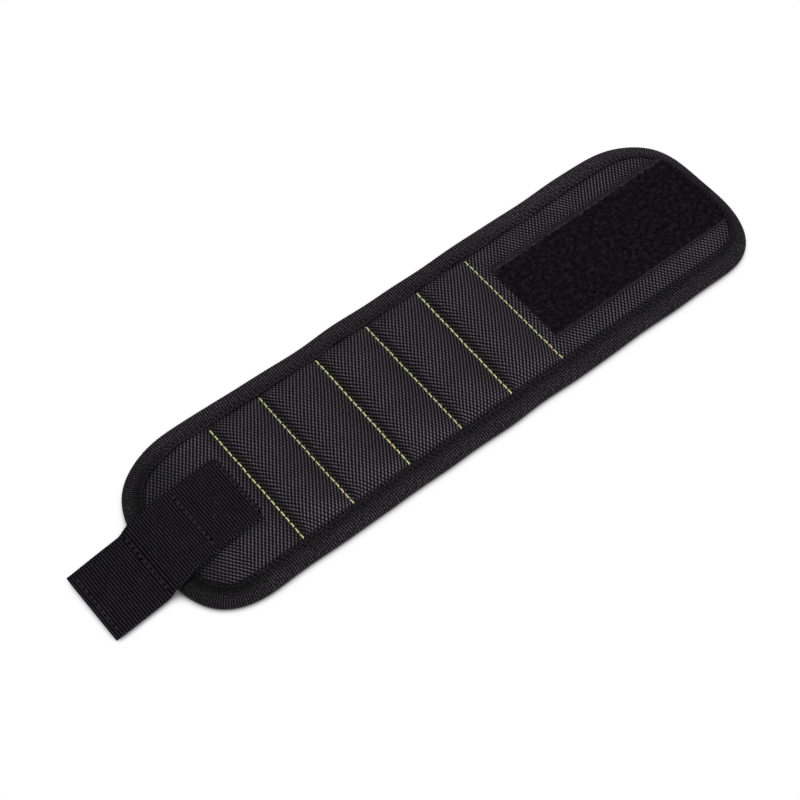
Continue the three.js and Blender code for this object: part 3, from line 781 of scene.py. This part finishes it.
def slack_cloth():
    """Flat-lying cloth of each pocket as a grid of points: only a low dome, which is a little uneven."""
    u, v = np.meshgrid(np.linspace(-1, 1, SWELL_COLUMNS), np.linspace(-1, 1, SWELL_ROWS), indexing="ij")
    grids = []
    for k, (start, end) in enumerate(SPANS):
        x = (start + end) / 2 + u * (end - start) / 2
        y = PANEL_SHIFT + v * CROWN_EDGE
        z = (1 - u**2) * (1 - v**4) * (SWELL_START + SWELL_UNEVEN * wander(70 + k, 18, x, y))
        grids.append(join(x, y, z))
    return np.array(grids)


def swollen_cloth(grids):
    """The grids after a cloth simulation: pinned at the seams and pressed up by the padding."""
    count = POCKETS * SWELL_COLUMNS * SWELL_ROWS
    index = np.arange(count).reshape(POCKETS, SWELL_COLUMNS, SWELL_ROWS)
    faces = join(index[:, :-1, :-1], index[:, 1:, :-1], index[:, 1:, 1:], index[:, :-1, 1:])
    seams = np.ones(index.shape, bool)
    seams[:, 1:-1, 1:-1] = False
    mesh = bpy.data.meshes.new("swell")
    mesh.from_pydata((grids.reshape(-1, 3) * SWELL_SCALE).tolist(), [], faces.reshape(-1, 4).tolist())
    cloth = link("swell", mesh)
    cloth.vertex_groups.new(name="seams").add(index[seams].tolist(), 1.0, "REPLACE")
    modifier = cloth.modifiers.new("cloth", "CLOTH")
    modifier.collision_settings.use_collision = False
    settings = modifier.settings
    settings.quality = 8
    settings.bending_stiffness = 2
    settings.air_damping = 5
    settings.vertex_group_mass = "seams"
    settings.use_pressure = True
    settings.uniform_pressure_force = SWELL_PRESSURE
    settings.shrink_min = -SWELL_SLACK
    settings.effector_weights.gravity = 0
    for step in range(1, SWELL_FRAMES + 1):
        bpy.context.scene.frame_set(step)
    result = cloth.evaluated_get(bpy.context.evaluated_depsgraph_get()).to_mesh()
    points = np.empty(3 * count, np.float32)
    result.vertices.foreach_get("co", points)
    bpy.data.objects.remove(cloth)
    bpy.context.scene.frame_set(1)
    return points.reshape(grids.shape) / SWELL_SCALE


def swell_heights():
    """Rise of the face cloth over each pocket's grid, held to the full crown."""
    grids = slack_cloth()
    heights = swollen_cloth(grids)[..., 2]
    return heights * CROWN_RISE / heights.max(axis=(1, 2), keepdims=True)


SWELL = swell_heights()


def cubic(t):
    """Weights of the four samples round a place that is the share t between the middle two."""
    return (
        ((2 - t) * t - 1) * t / 2,
        ((3 * t - 5) * t * t + 2) / 2,
        ((4 - 3 * t) * t + 1) * t / 2,
        (t - 1) * t * t / 2,
    )


def crown(x, y):
    """Rise of the face cloth over its padding: none at the rows and the tape."""
    rise = np.zeros(np.broadcast(x, y).shape)
    x = x - lean(x, y)
    last = np.array([SWELL_COLUMNS, SWELL_ROWS]) - 1
    v = ((y - PANEL_SHIFT) / CROWN_EDGE + 1) / 2 * last[1]
    for heights, (start, end) in zip(SWELL, SPANS):
        share = (x - start) / (end - start)
        u = (share + CROWN_LEAN * share * (1 - share) ** 2) * last[0]
        inside = (u > 0) & (u < last[0]) & (v > 0) & (v < last[1])
        i, j = (np.clip(np.floor(w), 0, most - 1).astype(int) for w, most in zip((u, v), last))
        for a, weight_u in enumerate(cubic(u - i)):
            for b, weight_v in enumerate(cubic(v - j)):
                at = np.clip(i + a - 1, 0, last[0]), np.clip(j + b - 1, 0, last[1])
                rise += np.where(inside, weight_u * weight_v * heights[at], 0)
    return rise


def stitch_holes():
    """Places of the needle holes across the band."""
    count = math.floor(2 * TAPE_EDGE / STITCH_LENGTH)
    return (np.arange(count + 1) - count / 2) * STITCH_LENGTH + PANEL_SHIFT


def puckers(x, y):
    """Cloth drawn down at the needle holes of each row, with short creases beside them."""
    dip = np.zeros(np.broadcast(x, y).shape)
    x = x - lean(x, y)
    hole = 0.5 + 0.5 * np.cos(2 * np.pi * (y - stitch_holes()[0]) / STITCH_LENGTH)
    for k, row in enumerate(ROWS):
        beside = np.abs(x - row)
        dip += PUCKER_DEPTH * np.exp(-((beside / PUCKER_REACH) ** 2)) * hole
        crease = np.exp(-(((beside - CREASE_PLACE) / CREASE_REACH) ** 2))
        dip += CREASE_DEPTH * crease * wander(40 + k, CREASE_PITCH, y + CREASE_SLANT * beside)
    return dip * smooth(TAPE_EDGE + 1, TAPE_EDGE - 1, np.abs(y - PANEL_SHIFT))


def face_height(x, y):
    """Top of the face cloth, which is a little uneven."""
    rise = crown(x, y)
    uneven = 0.04 * wander(11, 16, x, y) * rise + 0.1 * wander(12, 11, x, y)
    return FACE_TOP + rise + uneven - puckers(x, y)


def strap_shade(x, y):
    """Light beside the near edge of the strap."""
    beside = strap_centre(x) - strap_half(x) - y
    shadow = np.where(beside > 0, steps(beside, *STRAP_SHADOW), 0)
    return 1 - shadow * smooth(STRAP_END, STRAP_END - 2, x)


def tape_shade(x, y):
    """Light on the tape: least at the strap end, and most along the loop end's far side."""
    far_light = TAPE_FAR_LIGHT + steps(x - FOLDS[POCKETS], TAPE_LOOP_LIGHT)
    light = TAPE_LIGHT + far_light * smooth(*TAPE_FAR_SIDE, y)
    return strap_shade(x, y) * (1 - steps(FOLDS[0] - x, TAPE_DIM)) * light


def by_side(x, y, value, parts):
    """A smooth step of a value that differs on the strap's far and near side."""
    return np.where(y > strap_centre(x), steps(value, parts[0]), steps(value, parts[1]))


def face_shade(x, y):
    """Light on the face cloth: less beside the tape, the rows and the strap, and at the strap end's tip."""
    near, far = panel_edges(x)
    shade = 1 - steps(np.minimum(far - y, y - near), TAPE_SHADE)
    shade = shade * (1 + steps(y, NEAR_LIGHT) * (x > FOLDS[0]))
    for start, end in SPANS:
        beside = x - lean(x, y) - start
        shade = shade * (1 - steps(beside, ROW_SHADE) * ((beside > 0) & (beside < end - start)))
    before = FOLDS[0] + lean(x, y) - x
    strap_end = (1 - by_side(x, y, before, TIP_SHADES)) * (1 - steps(before, FIRST_ROW_SHADE))
    return shade * np.where(before > 0, strap_end * strap_shade(x, y), 1)


def weave_climb(x, y):
    """How steeply the cloth climbs along the band, with more where it is drawn flat."""
    loop_end = smooth(*LOOP_END_EASE, x - FOLDS[POCKETS])
    strap_end = by_side(x, y, FOLDS[0] - x, FLAT_TIPS)
    pocket_ends = steps(np.abs(y - PANEL_SHIFT), FLAT_ENDS) * (x > FOLDS[0]) * (1 - loop_end)
    drawn_flat = strap_end + loop_end * (FLAT_LOOP_END + FLAT_UNEVEN * wander(13, 26, x, y)) + pocket_ends
    return crown(x + 0.5, y) - crown(x - 0.5, y) + drawn_flat


def store(piece, label, field):
    """Keeps the value of a field at each point of a piece, for its material."""
    points = np.empty(3 * len(piece.data.vertices), np.float32)
    piece.data.vertices.foreach_get("co", points)
    x, y = points.reshape(-1, 3)[:, :2].T / MM
    layer = piece.data.attributes.new(label, "FLOAT", "POINT")
    layer.data.foreach_set("value", field(x, y).astype(np.float32))


def add_face():
    columns, y = band_grid(FACE_STEP, FACE_POINTS)
    x = columns[:, None]
    top = face_height(x, y)
    run = run_of(join(columns, crown(columns, PANEL_SHIFT)))
    sheet = cloth_sheet(x, y, top, top - FACE, join(run[:, None], y))
    for piece in add_layer("face", sheet, columns, FACE_CLOTH):
        store(piece, "climb", weave_climb)
        store(piece, "shade", face_shade)


# Lining

def belly(x, y):
    """Underside of the lining: on the table inside the pockets and drawn up at the seams."""
    drop = np.zeros(np.broadcast(x, y).shape)
    across = smooth(CROWN_EDGE, BELLY_EDGE, np.abs(y))
    for start, end in SPANS:
        beside = np.clip(np.minimum(x - start, end - x) / BELLY_SHOULDER, 0, 1)
        drop += (1 - (1 - beside) ** BELLY_ROUNDNESS) * across
    return LINING_BASE * (1 - drop)


def add_lining():
    columns, y = band_grid(LINING_STEP, LINING_POINTS)
    x, y = columns[:, None], y[:, ::-1]
    low = belly(x, y)
    low = low + 0.08 * wander(21, 9, x, y) * smooth(0, 0.5, low)
    sheet = cloth_sheet(x, y, low, low + LINING_TOP - LINING_BASE)
    add_layer("lining", sheet, columns, AIR_MESH)


# Binding

def tape_section(inside, trim):
    """Depth in from the edge and height of the folded tape, so far inside its outer side."""
    middle = EDGE_HEIGHT / 2
    depth = np.linspace(FLANGE, middle, 8)
    seam = SEAM_SINK * np.exp(-(((depth - FLANGE + SEAM_DEPTH) / SEAM_REACH) ** 2))
    sink = inside + seam + TAPE_SINK * smooth(FLANGE - TAPE_PRESSED, FLANGE, depth)
    angle = np.linspace(-np.pi / 2, np.pi / 2, 9)[1:-1]
    radius = middle - inside
    edge = join(middle - radius * np.cos(angle), middle + radius * np.sin(angle))
    section = np.concatenate([join(depth, sink), edge, join(depth, EDGE_HEIGHT - sink)[::-1]])
    section[[0, -1], 0] -= trim
    return section


def tape_sheet(path):
    """The ribbed tape along a path of the outline, and its seam lines below and above."""
    points = resampled(path, RIB_PITCH / RIB_STEPS, RIB_STEPS)
    turn = np.arange(len(points))[:, None] / RIB_STEPS
    normals = inward(points)
    points = points + normals * (0.2 * wander(31, 42, *points.T))[:, None]
    uneven = 0.22 * wander(32, 24, *points.T)
    over = (tape_reach(*points.T) - FLANGE + uneven)[:, None]
    under = (TAPE_OVERLAP + uneven)[:, None]
    middle = EDGE_HEIGHT / 2

    def swept(section, raised):
        """A section along the whole path, raised at right angles to itself."""
        inset, level = section.T
        share = np.clip((inset - middle) / (FLANGE - middle), 0, 1)
        slope = unit(np.gradient(section, axis=0))
        depth = inset + np.where(level > middle, over, under) * share - raised * slope[:, 1]
        x, y = (points[:, k, None] + normals[:, k, None] * depth for k in (0, 1))
        return join(x, y, level + raised * slope[:, 0])

    outer, inner = tape_section(0, 0.25), tape_section(TAPE, 0.15)
    rib = RIB_HEIGHT * (np.sin(np.pi * turn) ** 2 - 1)
    across = run_of(outer)
    flat = join(RIB_PITCH * turn, across - across[-1] / 2)
    sheet = Sheet(swept(outer, rib), swept(inner, 0), flat)
    seam = int(np.argmin(np.abs(outer[: len(outer) // 2, 0] - FLANGE + SEAM_DEPTH)))
    return sheet, [sheet.loops[:, seam], sheet.loops[:, len(outer) - 1 - seam]]


def binding_stretches(fold):
    """Name, path and CAD nodes of the tape round a fold; the tape of an end is one stretch."""
    start = STRAP_TIP if fold == 0 else CUTS[fold - 1]
    end = LOOP_TIP if fold == LAST_FOLD else CUTS[fold]
    near = stretch_of_edge(-1, start, end)
    far = stretch_of_edge(1, start, end)[::-1]
    sides = [f"{CHAIN[fold]}_binding_{side}" for side in ("far", "near")]
    if fold == 0:
        return [("strap_end", np.concatenate([far, near[1:]]), ["strap_end_binding"])]
    if fold == LAST_FOLD:
        return [("loop_end", np.concatenate([near, far[1:]]), [*sides, "loop_end_outer_binding"])]
    return [(f"far_{fold + 1}", far, sides[:1]), (f"near_{fold + 1}", near, sides[1:])]


def add_binding():
    for fold in range(len(FOLDS)):
        paths = []
        for label, path, nodes in binding_stretches(fold):
            sheet, lines = tape_sheet(path)
            piece = sheet.piece(f"binding_{label}", TAPE_CLOTH)
            store(piece, "shade", tape_shade)
            bend(piece, fold)
            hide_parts(*nodes)
            for line, sign in zip(lines, (-1, 1)):
                holes = resampled(line, FINE_STITCH)
                paths.append(stitch_paths(holes, rise=0.12, sink=0.3, sign=sign, gap=0.3))
        stitches = np.concatenate(paths)
        seam = tubes(f"binding_seam_{fold + 1}", stitches, FINE_THREAD, FINE_THREAD, GREY_THREAD)
        bend(seam, fold)


# Stitch rows

def stitch_paths(holes, rise, sink, sign=1, gap=0.0, count=11):
    """Middle lines of the stitches between neighbouring holes, raised on the side that sign gives."""
    share = np.linspace(gap / 2, 1 - gap / 2, count)[:, None]
    off = np.abs(np.linspace(-1, 1, count))[:, None]
    bow = rise * (1 - off**4) - sink * off**6
    return holes[:-1, None] * (1 - share) + holes[1:, None] * share + sign * bow * UP


def add_stitch_rows():
    y = stitch_holes()
    rng = np.random.default_rng(5)
    for k, row in enumerate(ROWS):
        x = row + lean(row, y) + ROW_JITTER * rng.normal(size=len(y))
        over = join(x, y, face_height(x, y) + PUCKER_DEPTH * THREAD_SPAN)
        under = join(x, y, belly(x, y))
        paths = [
            stitch_paths(over, rise=0.3, sink=1.0, gap=0.2),
            stitch_paths(under, rise=0.1, sink=0.6, sign=-1, gap=0.2),
        ]
        stitches = np.concatenate(paths)
        name = f"yellow_stitches_{k + 1}"
        piece = tubes(name, stitches, THREAD_WIDTHS[k], THREAD_HEIGHT, YELLOW_THREAD, sides=8)
        bend(piece, k)
        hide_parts(f"stitch_row_{k + 1}")


# Strap

def strap_base(x):
    """Underside of the strap: sewn on the face, up onto the tape, then down to the table."""
    over_tape = STRAP_TOP - STRAP_THICKNESS
    climb = SEWN_BASE + (over_tape - SEWN_BASE) * smooth(RAMP_TOP + STRAP_RAMP, RAMP_TOP, x)
    return climb - (over_tape - TAB_BASE) * smooth(*TAB_DROP, TAB_FOLD - x)


def strap_value(x, column):
    """One column of the strap's lines, eased along the band."""
    places, values = ([row[k] for row in STRAP_LINE] for k in (0, column))
    return np.mean([np.interp(x + step, places, values) for step in STRAP_EASE], axis=0)


def strap_centre(x):
    """Middle of the strap: nearly straight on the tab, and swung to the far side where it is sewn."""
    return strap_value(x, 1)


def strap_half(x):
    """Half of the strap's width, with rounded corners at its sewn end."""
    past = np.clip((x - STRAP_END + STRAP_CORNER) / STRAP_CORNER, 0, 1)
    return strap_value(x, 2) - STRAP_CORNER * (1 - np.sqrt(1 - past**2))


def add_strap():
    count = round((STRAP_END - TAB_END) / WEB_PITCH) * RIB_STEPS
    x = np.linspace(TAB_END, STRAP_END, count + 1)[:, None]
    turn = np.arange(count + 1)[:, None] / RIB_STEPS
    share = np.sin(np.linspace(-1, 1, STRAP_POINTS) * np.pi / 2)
    rib = np.sin(np.pi * turn) ** 2
    inside = smooth(1, 0.9, np.abs(share))
    y = strap_centre(x) + strap_half(x) * share + 0.12 * rib * np.sign(share) * (1 - inside)
    thin = 0.35 * STRAP_THICKNESS * smooth(0.955, 1, np.abs(share))
    ribs = WEB_RIB * (rib - 1) * (EDGE_RIB + (1 - EDGE_RIB) * inside)
    low = strap_base(x) + thin - ribs / 2
    high = strap_base(x) + STRAP_THICKNESS - thin + ribs + 0.12 * wander(51, 15, x, y)
    flat = join(WEB_PITCH * turn, STRAP_WIDTH / 2 * share)
    strap = cloth_sheet(x, y, high, low, flat).piece("strap", WEBBING)
    bend_tab(strap)
    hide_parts("strap_anchor", "strap_tab_webbing")


def strap_line(start, end):
    """Needle holes along a straight line on the strap, given as x and distance from its middle."""
    x, off = resampled(np.array([start, end], float), STRAP_STITCH).T
    return join(x, strap_centre(x) + off, strap_base(x) + STRAP_THICKNESS - 0.1)


def strap_thread(name, lines, width, material):
    """Stitches through lines of needle holes on the strap."""
    paths = np.concatenate([stitch_paths(holes, rise=0.15, sink=0.5, gap=0.4) for holes in lines])
    return tubes(name, paths, width, width, material)


def add_strap_stitches():
    back, front, half = STRAP_END - BOX_BACK, STRAP_END - BOX_FRONT, STRAP_WIDTH / 2 - BOX_SIDE
    a, b, c, d = (back, -half), (front, -half), (front, half), (back, half)
    rows = [strap_line((x, -half), (x, half)) for x in (*TAB_ROWS, back, front)]
    sides_and_cross = [strap_line(*line) for line in ((a, b), (c, d), (a, c), (b, d))]
    rng = np.random.default_rng(52)
    holes = np.concatenate(rows)[:, None] + np.array(HOLE_DEPTHS)[:, None] * UP
    holes[..., :2] += HOLE_JITTER * rng.normal(size=(len(holes), 1, 2))
    sizes = np.repeat(NEEDLE_HOLES, [len(row) for row in rows]) * rng.uniform(0.5, 1.2, len(holes))
    sizes = sizes[:, None, None, None]
    pieces = [
        strap_thread("strap_rows", rows, STRAP_THREAD, GREY_THREAD),
        strap_thread("strap_box", sides_and_cross, FINE_THREAD, BLACK_THREAD),
        # Dark discs of painted shade at the needle holes.
        tubes("needle_holes", holes, 1.2 * sizes, sizes, HOLE_SHADE, sides=8, reference=ACROSS),
    ]
    for piece in pieces:
        bend_tab(piece)


def add_hooks():
    half = STRAP_WIDTH / 2 - HOOK_MARGIN
    x = np.linspace(HOOK_END, HOOK_START, 40)[:, None]
    off = half * np.linspace(1, -1, 41)
    high = strap_base(x) - HOOK_GAP
    sheet = cloth_sheet(x, strap_centre(x) + off, high - HOOK_TAPE_THICKNESS, high, join(x, off))
    base = sheet.piece("hook_tape", HOOK_TAPE)
    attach(base, "strap_tab")
    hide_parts("strap_tab_hooks")
    along = np.arange(HOOK_END + 1, HOOK_START - 0.5, HOOK_PITCHES[0])
    across = np.arange(1 - half, half - 0.5, HOOK_PITCHES[1])
    along, across = (places.ravel() for places in np.meshgrid(along, across))
    root = join(along, strap_centre(along) + across, strap_base(along) - HOOK_TAPE_THICKNESS)
    curl = np.linspace(0, 1, 7)
    out = HOOK_LEAN * np.sin(np.pi * np.clip(curl * 1.25 - 0.25, 0, 1))
    out = out + HOOK_REACH * np.clip(curl * 1.6 - 0.6, 0, 1)
    drop = HOOK_CURL * np.clip(curl * 2.4 - 1.4, 0, 1)
    drop = drop - HOOK_DROP * np.sin(np.pi / 2 * np.minimum(curl * 1.35, 1))
    paths = root[:, None] + join(out, 0, drop)
    hooks = tubes("hooks", paths, HOOK_THREAD, HOOK_THREAD, HOOK_TAPE, sides=5, reference=ACROSS)
    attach(hooks, "strap_tab")


# Loop pad

def pad_edges(x):
    """Near and far edge of the pad, trimmed under the tape at the tip."""
    near, far = panel_edges(x, PAD_TUCK)
    return np.maximum(near, PAD_NEAR + PAD_TRIM), np.minimum(far, PAD_FAR - PAD_TRIM)


def add_loop_pad():
    columns = columns_between([PAD_START, PAD_END - 6, PAD_END], PAD_STEP)
    x = columns[:, None]
    near, far = (edge[:, None] for edge in pad_edges(columns))
    y = (near + far) / 2 + (far - near) / 2 * np.linspace(-1, 1, PAD_POINTS)
    rim = np.minimum(x - PAD_START, np.minimum(y - near, far - y))
    round_edge = np.sqrt(np.clip(rim / PAD_ROUND, 0, 1))
    pressed = smooth(PAD_END, PAD_END - PAD_FLATTENED, x)
    pile = 0.14 * wander(61, 3.2, x, y) + 0.1 * wander(62, 1.6, x, y)
    thick = PAD_MAT * (0.3 + 0.7 * round_edge) * (0.5 + 0.5 * pressed) + pile * round_edge
    pad = cloth_sheet(x, y, SEWN_BASE + thick, SEWN_BASE).piece("loop_pad", PILE)
    bend(pad, LAST_FOLD)
    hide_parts("loop_pad_inner", "loop_pad_outer")


def pile_paths(rng, x, y, base, spans, rises):
    """Middle lines of small loops that start at the given places and lean every way."""
    turn, span, rise = (rng.uniform(*ends, (len(x), 1)) for ends in ((0, 2 * np.pi), spans, rises))
    share = np.linspace(0, 1, PILE_STEPS)
    along = (share - 0.5) * span
    sway = 0.3 * span * np.sin(np.pi * share) * rng.normal(size=(len(x), 1))
    lift = rise * np.sin(np.pi * share) - 0.1
    cos, sin = np.cos(turn), np.sin(turn)
    return join(x[:, None] + along * cos - sway * sin, y[:, None] + along * sin + sway * cos, base + lift)


def add_pile():
    """The pad's loops, and paler fuzz along its edges."""
    rng = np.random.default_rng(63)
    x = rng.uniform(PAD_START + 0.4, PAD_END - 1, PILE_LOOPS)
    near, far = pad_edges(x)
    y = near + PILE_INSETS[0] + (far - near - sum(PILE_INSETS)) * rng.uniform(0, 1, PILE_LOOPS)
    loops = pile_paths(rng, x, y, SEWN_BASE + PAD_MAT, spans=(0.6, 1.5), rises=(0.2, 0.6))
    count = FUZZ_LOOPS // 2
    along = rng.uniform(PAD_START, PAD_END - 4, (2, count))
    edges = [pad_edges(along[side])[side] for side in (0, 1)]
    across = [edge + spread * rng.normal(size=count) for edge, spread in zip(edges, FUZZ_SPREADS)]
    x, y = along.ravel(), np.concatenate(across)
    fuzz = pile_paths(rng, x, y, SEWN_BASE + 0.5, spans=(0.6, 1.6), rises=(0.4, 0.9))
    for name, paths, material in (("pile_loops", loops, PILE), ("pile_fuzz", fuzz, FUZZ)):
        piece = tubes(name, paths, PILE_THREAD, PILE_THREAD, material, sides=3)
        bend(piece, LAST_FOLD)


# Foam and magnets

def recess_columns(start, end, walls, step):
    """Columns from start to end, with two close together at each wall of a recess."""
    walls = [place + side for place in sorted(walls) for side in (-FOAM_WALL, FOAM_WALL)]
    return columns_between([start, *walls, end], step)


def add_foam(k):
    """The foam between face and lining, with an open recess for each magnet."""
    start, end = box(f"pocket_{k}_padding")
    magnets = [box(f"pocket_{k}_magnet_{m}") for m in (1, 2)]
    recesses = [(low - FOAM_ROOM, high + FOAM_ROOM) for low, high in magnets]
    walls_x = [corner[0] for corner in recesses[0]]
    walls_y = [corner[1] for recess in recesses for corner in recess]
    columns = recess_columns(start[0], end[0], walls_x, FOAM_STEPS[0])
    rows = recess_columns(start[1], end[1], walls_y, FOAM_STEPS[1])
    x, y = np.meshgrid(columns, rows, indexing="ij")
    over = np.maximum(face_height(x, y) - FACE - FACE_GAP, FACE_BASE - 0.2)
    under = belly(x, y) + LINING_TOP - LINING_BASE + FOAM_GAP
    for (low, high), (base, _) in zip(recesses, magnets):
        inside = (x > low[0]) & (x < high[0]) & (y > low[1]) & (y < high[1])
        over = np.where(inside, base[2] - FOAM_GAP, over)
    foam = cloth_sheet(x, y, over, under).piece(f"foam_{k}", FOAM)
    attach(foam, f"pocket_{k}")
    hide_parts(f"pocket_{k}_padding")
    for m in (1, 2):
        magnet = frame["nodes"][f"pocket_{k}_magnet_{m}"]
        magnet.data.materials.clear()
        magnet.data.materials.append(NICKEL)


# Stage

def add_world():
    """White where the camera, gloss or glass sees it, and dim where it only lights the object."""
    world = bpy.data.worlds.new("studio")
    bpy.context.scene.world = world
    world.use_nodes = True
    nodes = Nodes(world.node_tree)
    seen = nodes.add("LightPath", "Is Camera Ray")
    for label in ("Is Glossy Ray", "Is Transmission Ray"):
        seen = nodes.math("MAXIMUM", seen, nodes.add("LightPath", label))
    background = world.node_tree.nodes["Background"].inputs
    nodes.put(background["Color"], WHITE)
    nodes.put(background["Strength"], nodes.add("MapRange", "Result", {"Value": seen, "To Min": WORLD_LIGHT}))


def add_floor():
    """A pale floor that keeps the object's soft shadow and lets a folded band show below it."""
    mesh = bpy.data.meshes.new("floor")
    signs = ((-1, -1), (1, -1), (1, 1), (-1, 1))
    mesh.from_pydata([(x * FLOOR_SIZE, y * FLOOR_SIZE, FLOOR_HEIGHT) for x, y in signs], [], [(0, 1, 2, 3)])
    material = bpy.data.materials.new("floor")
    material.use_nodes = True
    nodes = Nodes(material.node_tree)
    nodes.tree.nodes.remove(nodes.tree.nodes["Principled BSDF"])
    # The floor's shadow is painted: for camera rays its tint darkens with ambient occlusion round the object.
    sky = nodes.add("AmbientOcclusion", "AO", {"Distance": SHADOW_REACH, "Normal": SHADOW_TILT}, samples=16)
    seen = nodes.add("LightPath", "Is Camera Ray")
    share, first, second, result = 0, 6, 7, 2  # sockets of a mix of colours
    inputs = {share: seen, first: WHITE, second: sky.step(*SHADOW_RANGE)}
    colour = nodes.add("Mix", result, inputs, data_type="RGBA")
    clear = nodes.add("BsdfTransparent", "BSDF", {"Color": colour})
    nodes.put(nodes.tree.nodes["Material Output"].inputs["Surface"], clear)
    mesh.materials.append(material)
    link("floor", mesh)


def link_facing(name, data, place, heading):
    """A new object in the scene that looks along a heading."""
    made = link(name, data)
    made.location = place
    made.rotation_mode = "QUATERNION"
    made.rotation_quaternion = heading.to_track_quat("-Z", "Y")
    return made


def add_lamp(name, place, size, power):
    lamp = bpy.data.lights.new(name, "AREA")
    lamp.size = size
    lamp.energy = power
    link_facing(name, lamp, place, -Vector(place))


def add_camera():
    """The camera that was solved from the six parallel rows of stitches."""
    azimuth, elevation = math.radians(VIEW_AZIMUTH), math.radians(VIEW_ELEVATION)
    level = math.cos(elevation)
    back = Vector((math.sin(azimuth) * level, -math.cos(azimuth) * level, math.sin(elevation)))
    lens = bpy.data.cameras.new("camera")
    lens.sensor_width = VIEW_SENSOR
    lens.lens = VIEW_LENS
    bpy.context.scene.camera = link_facing("camera", lens, VIEW_TARGET + back * VIEW_DISTANCE, -back)


bpy.context.scene.view_settings.view_transform = "Standard"
add_camera()
add_world()
add_floor()
for lamp in LAMPS:
    add_lamp(*lamp)
add_face()
add_lining()
add_binding()
add_stitch_rows()
add_strap()
add_strap_stitches()
add_hooks()
add_loop_pad()
add_pile()
for pocket in range(1, POCKETS + 1):
    add_foam(pocket)
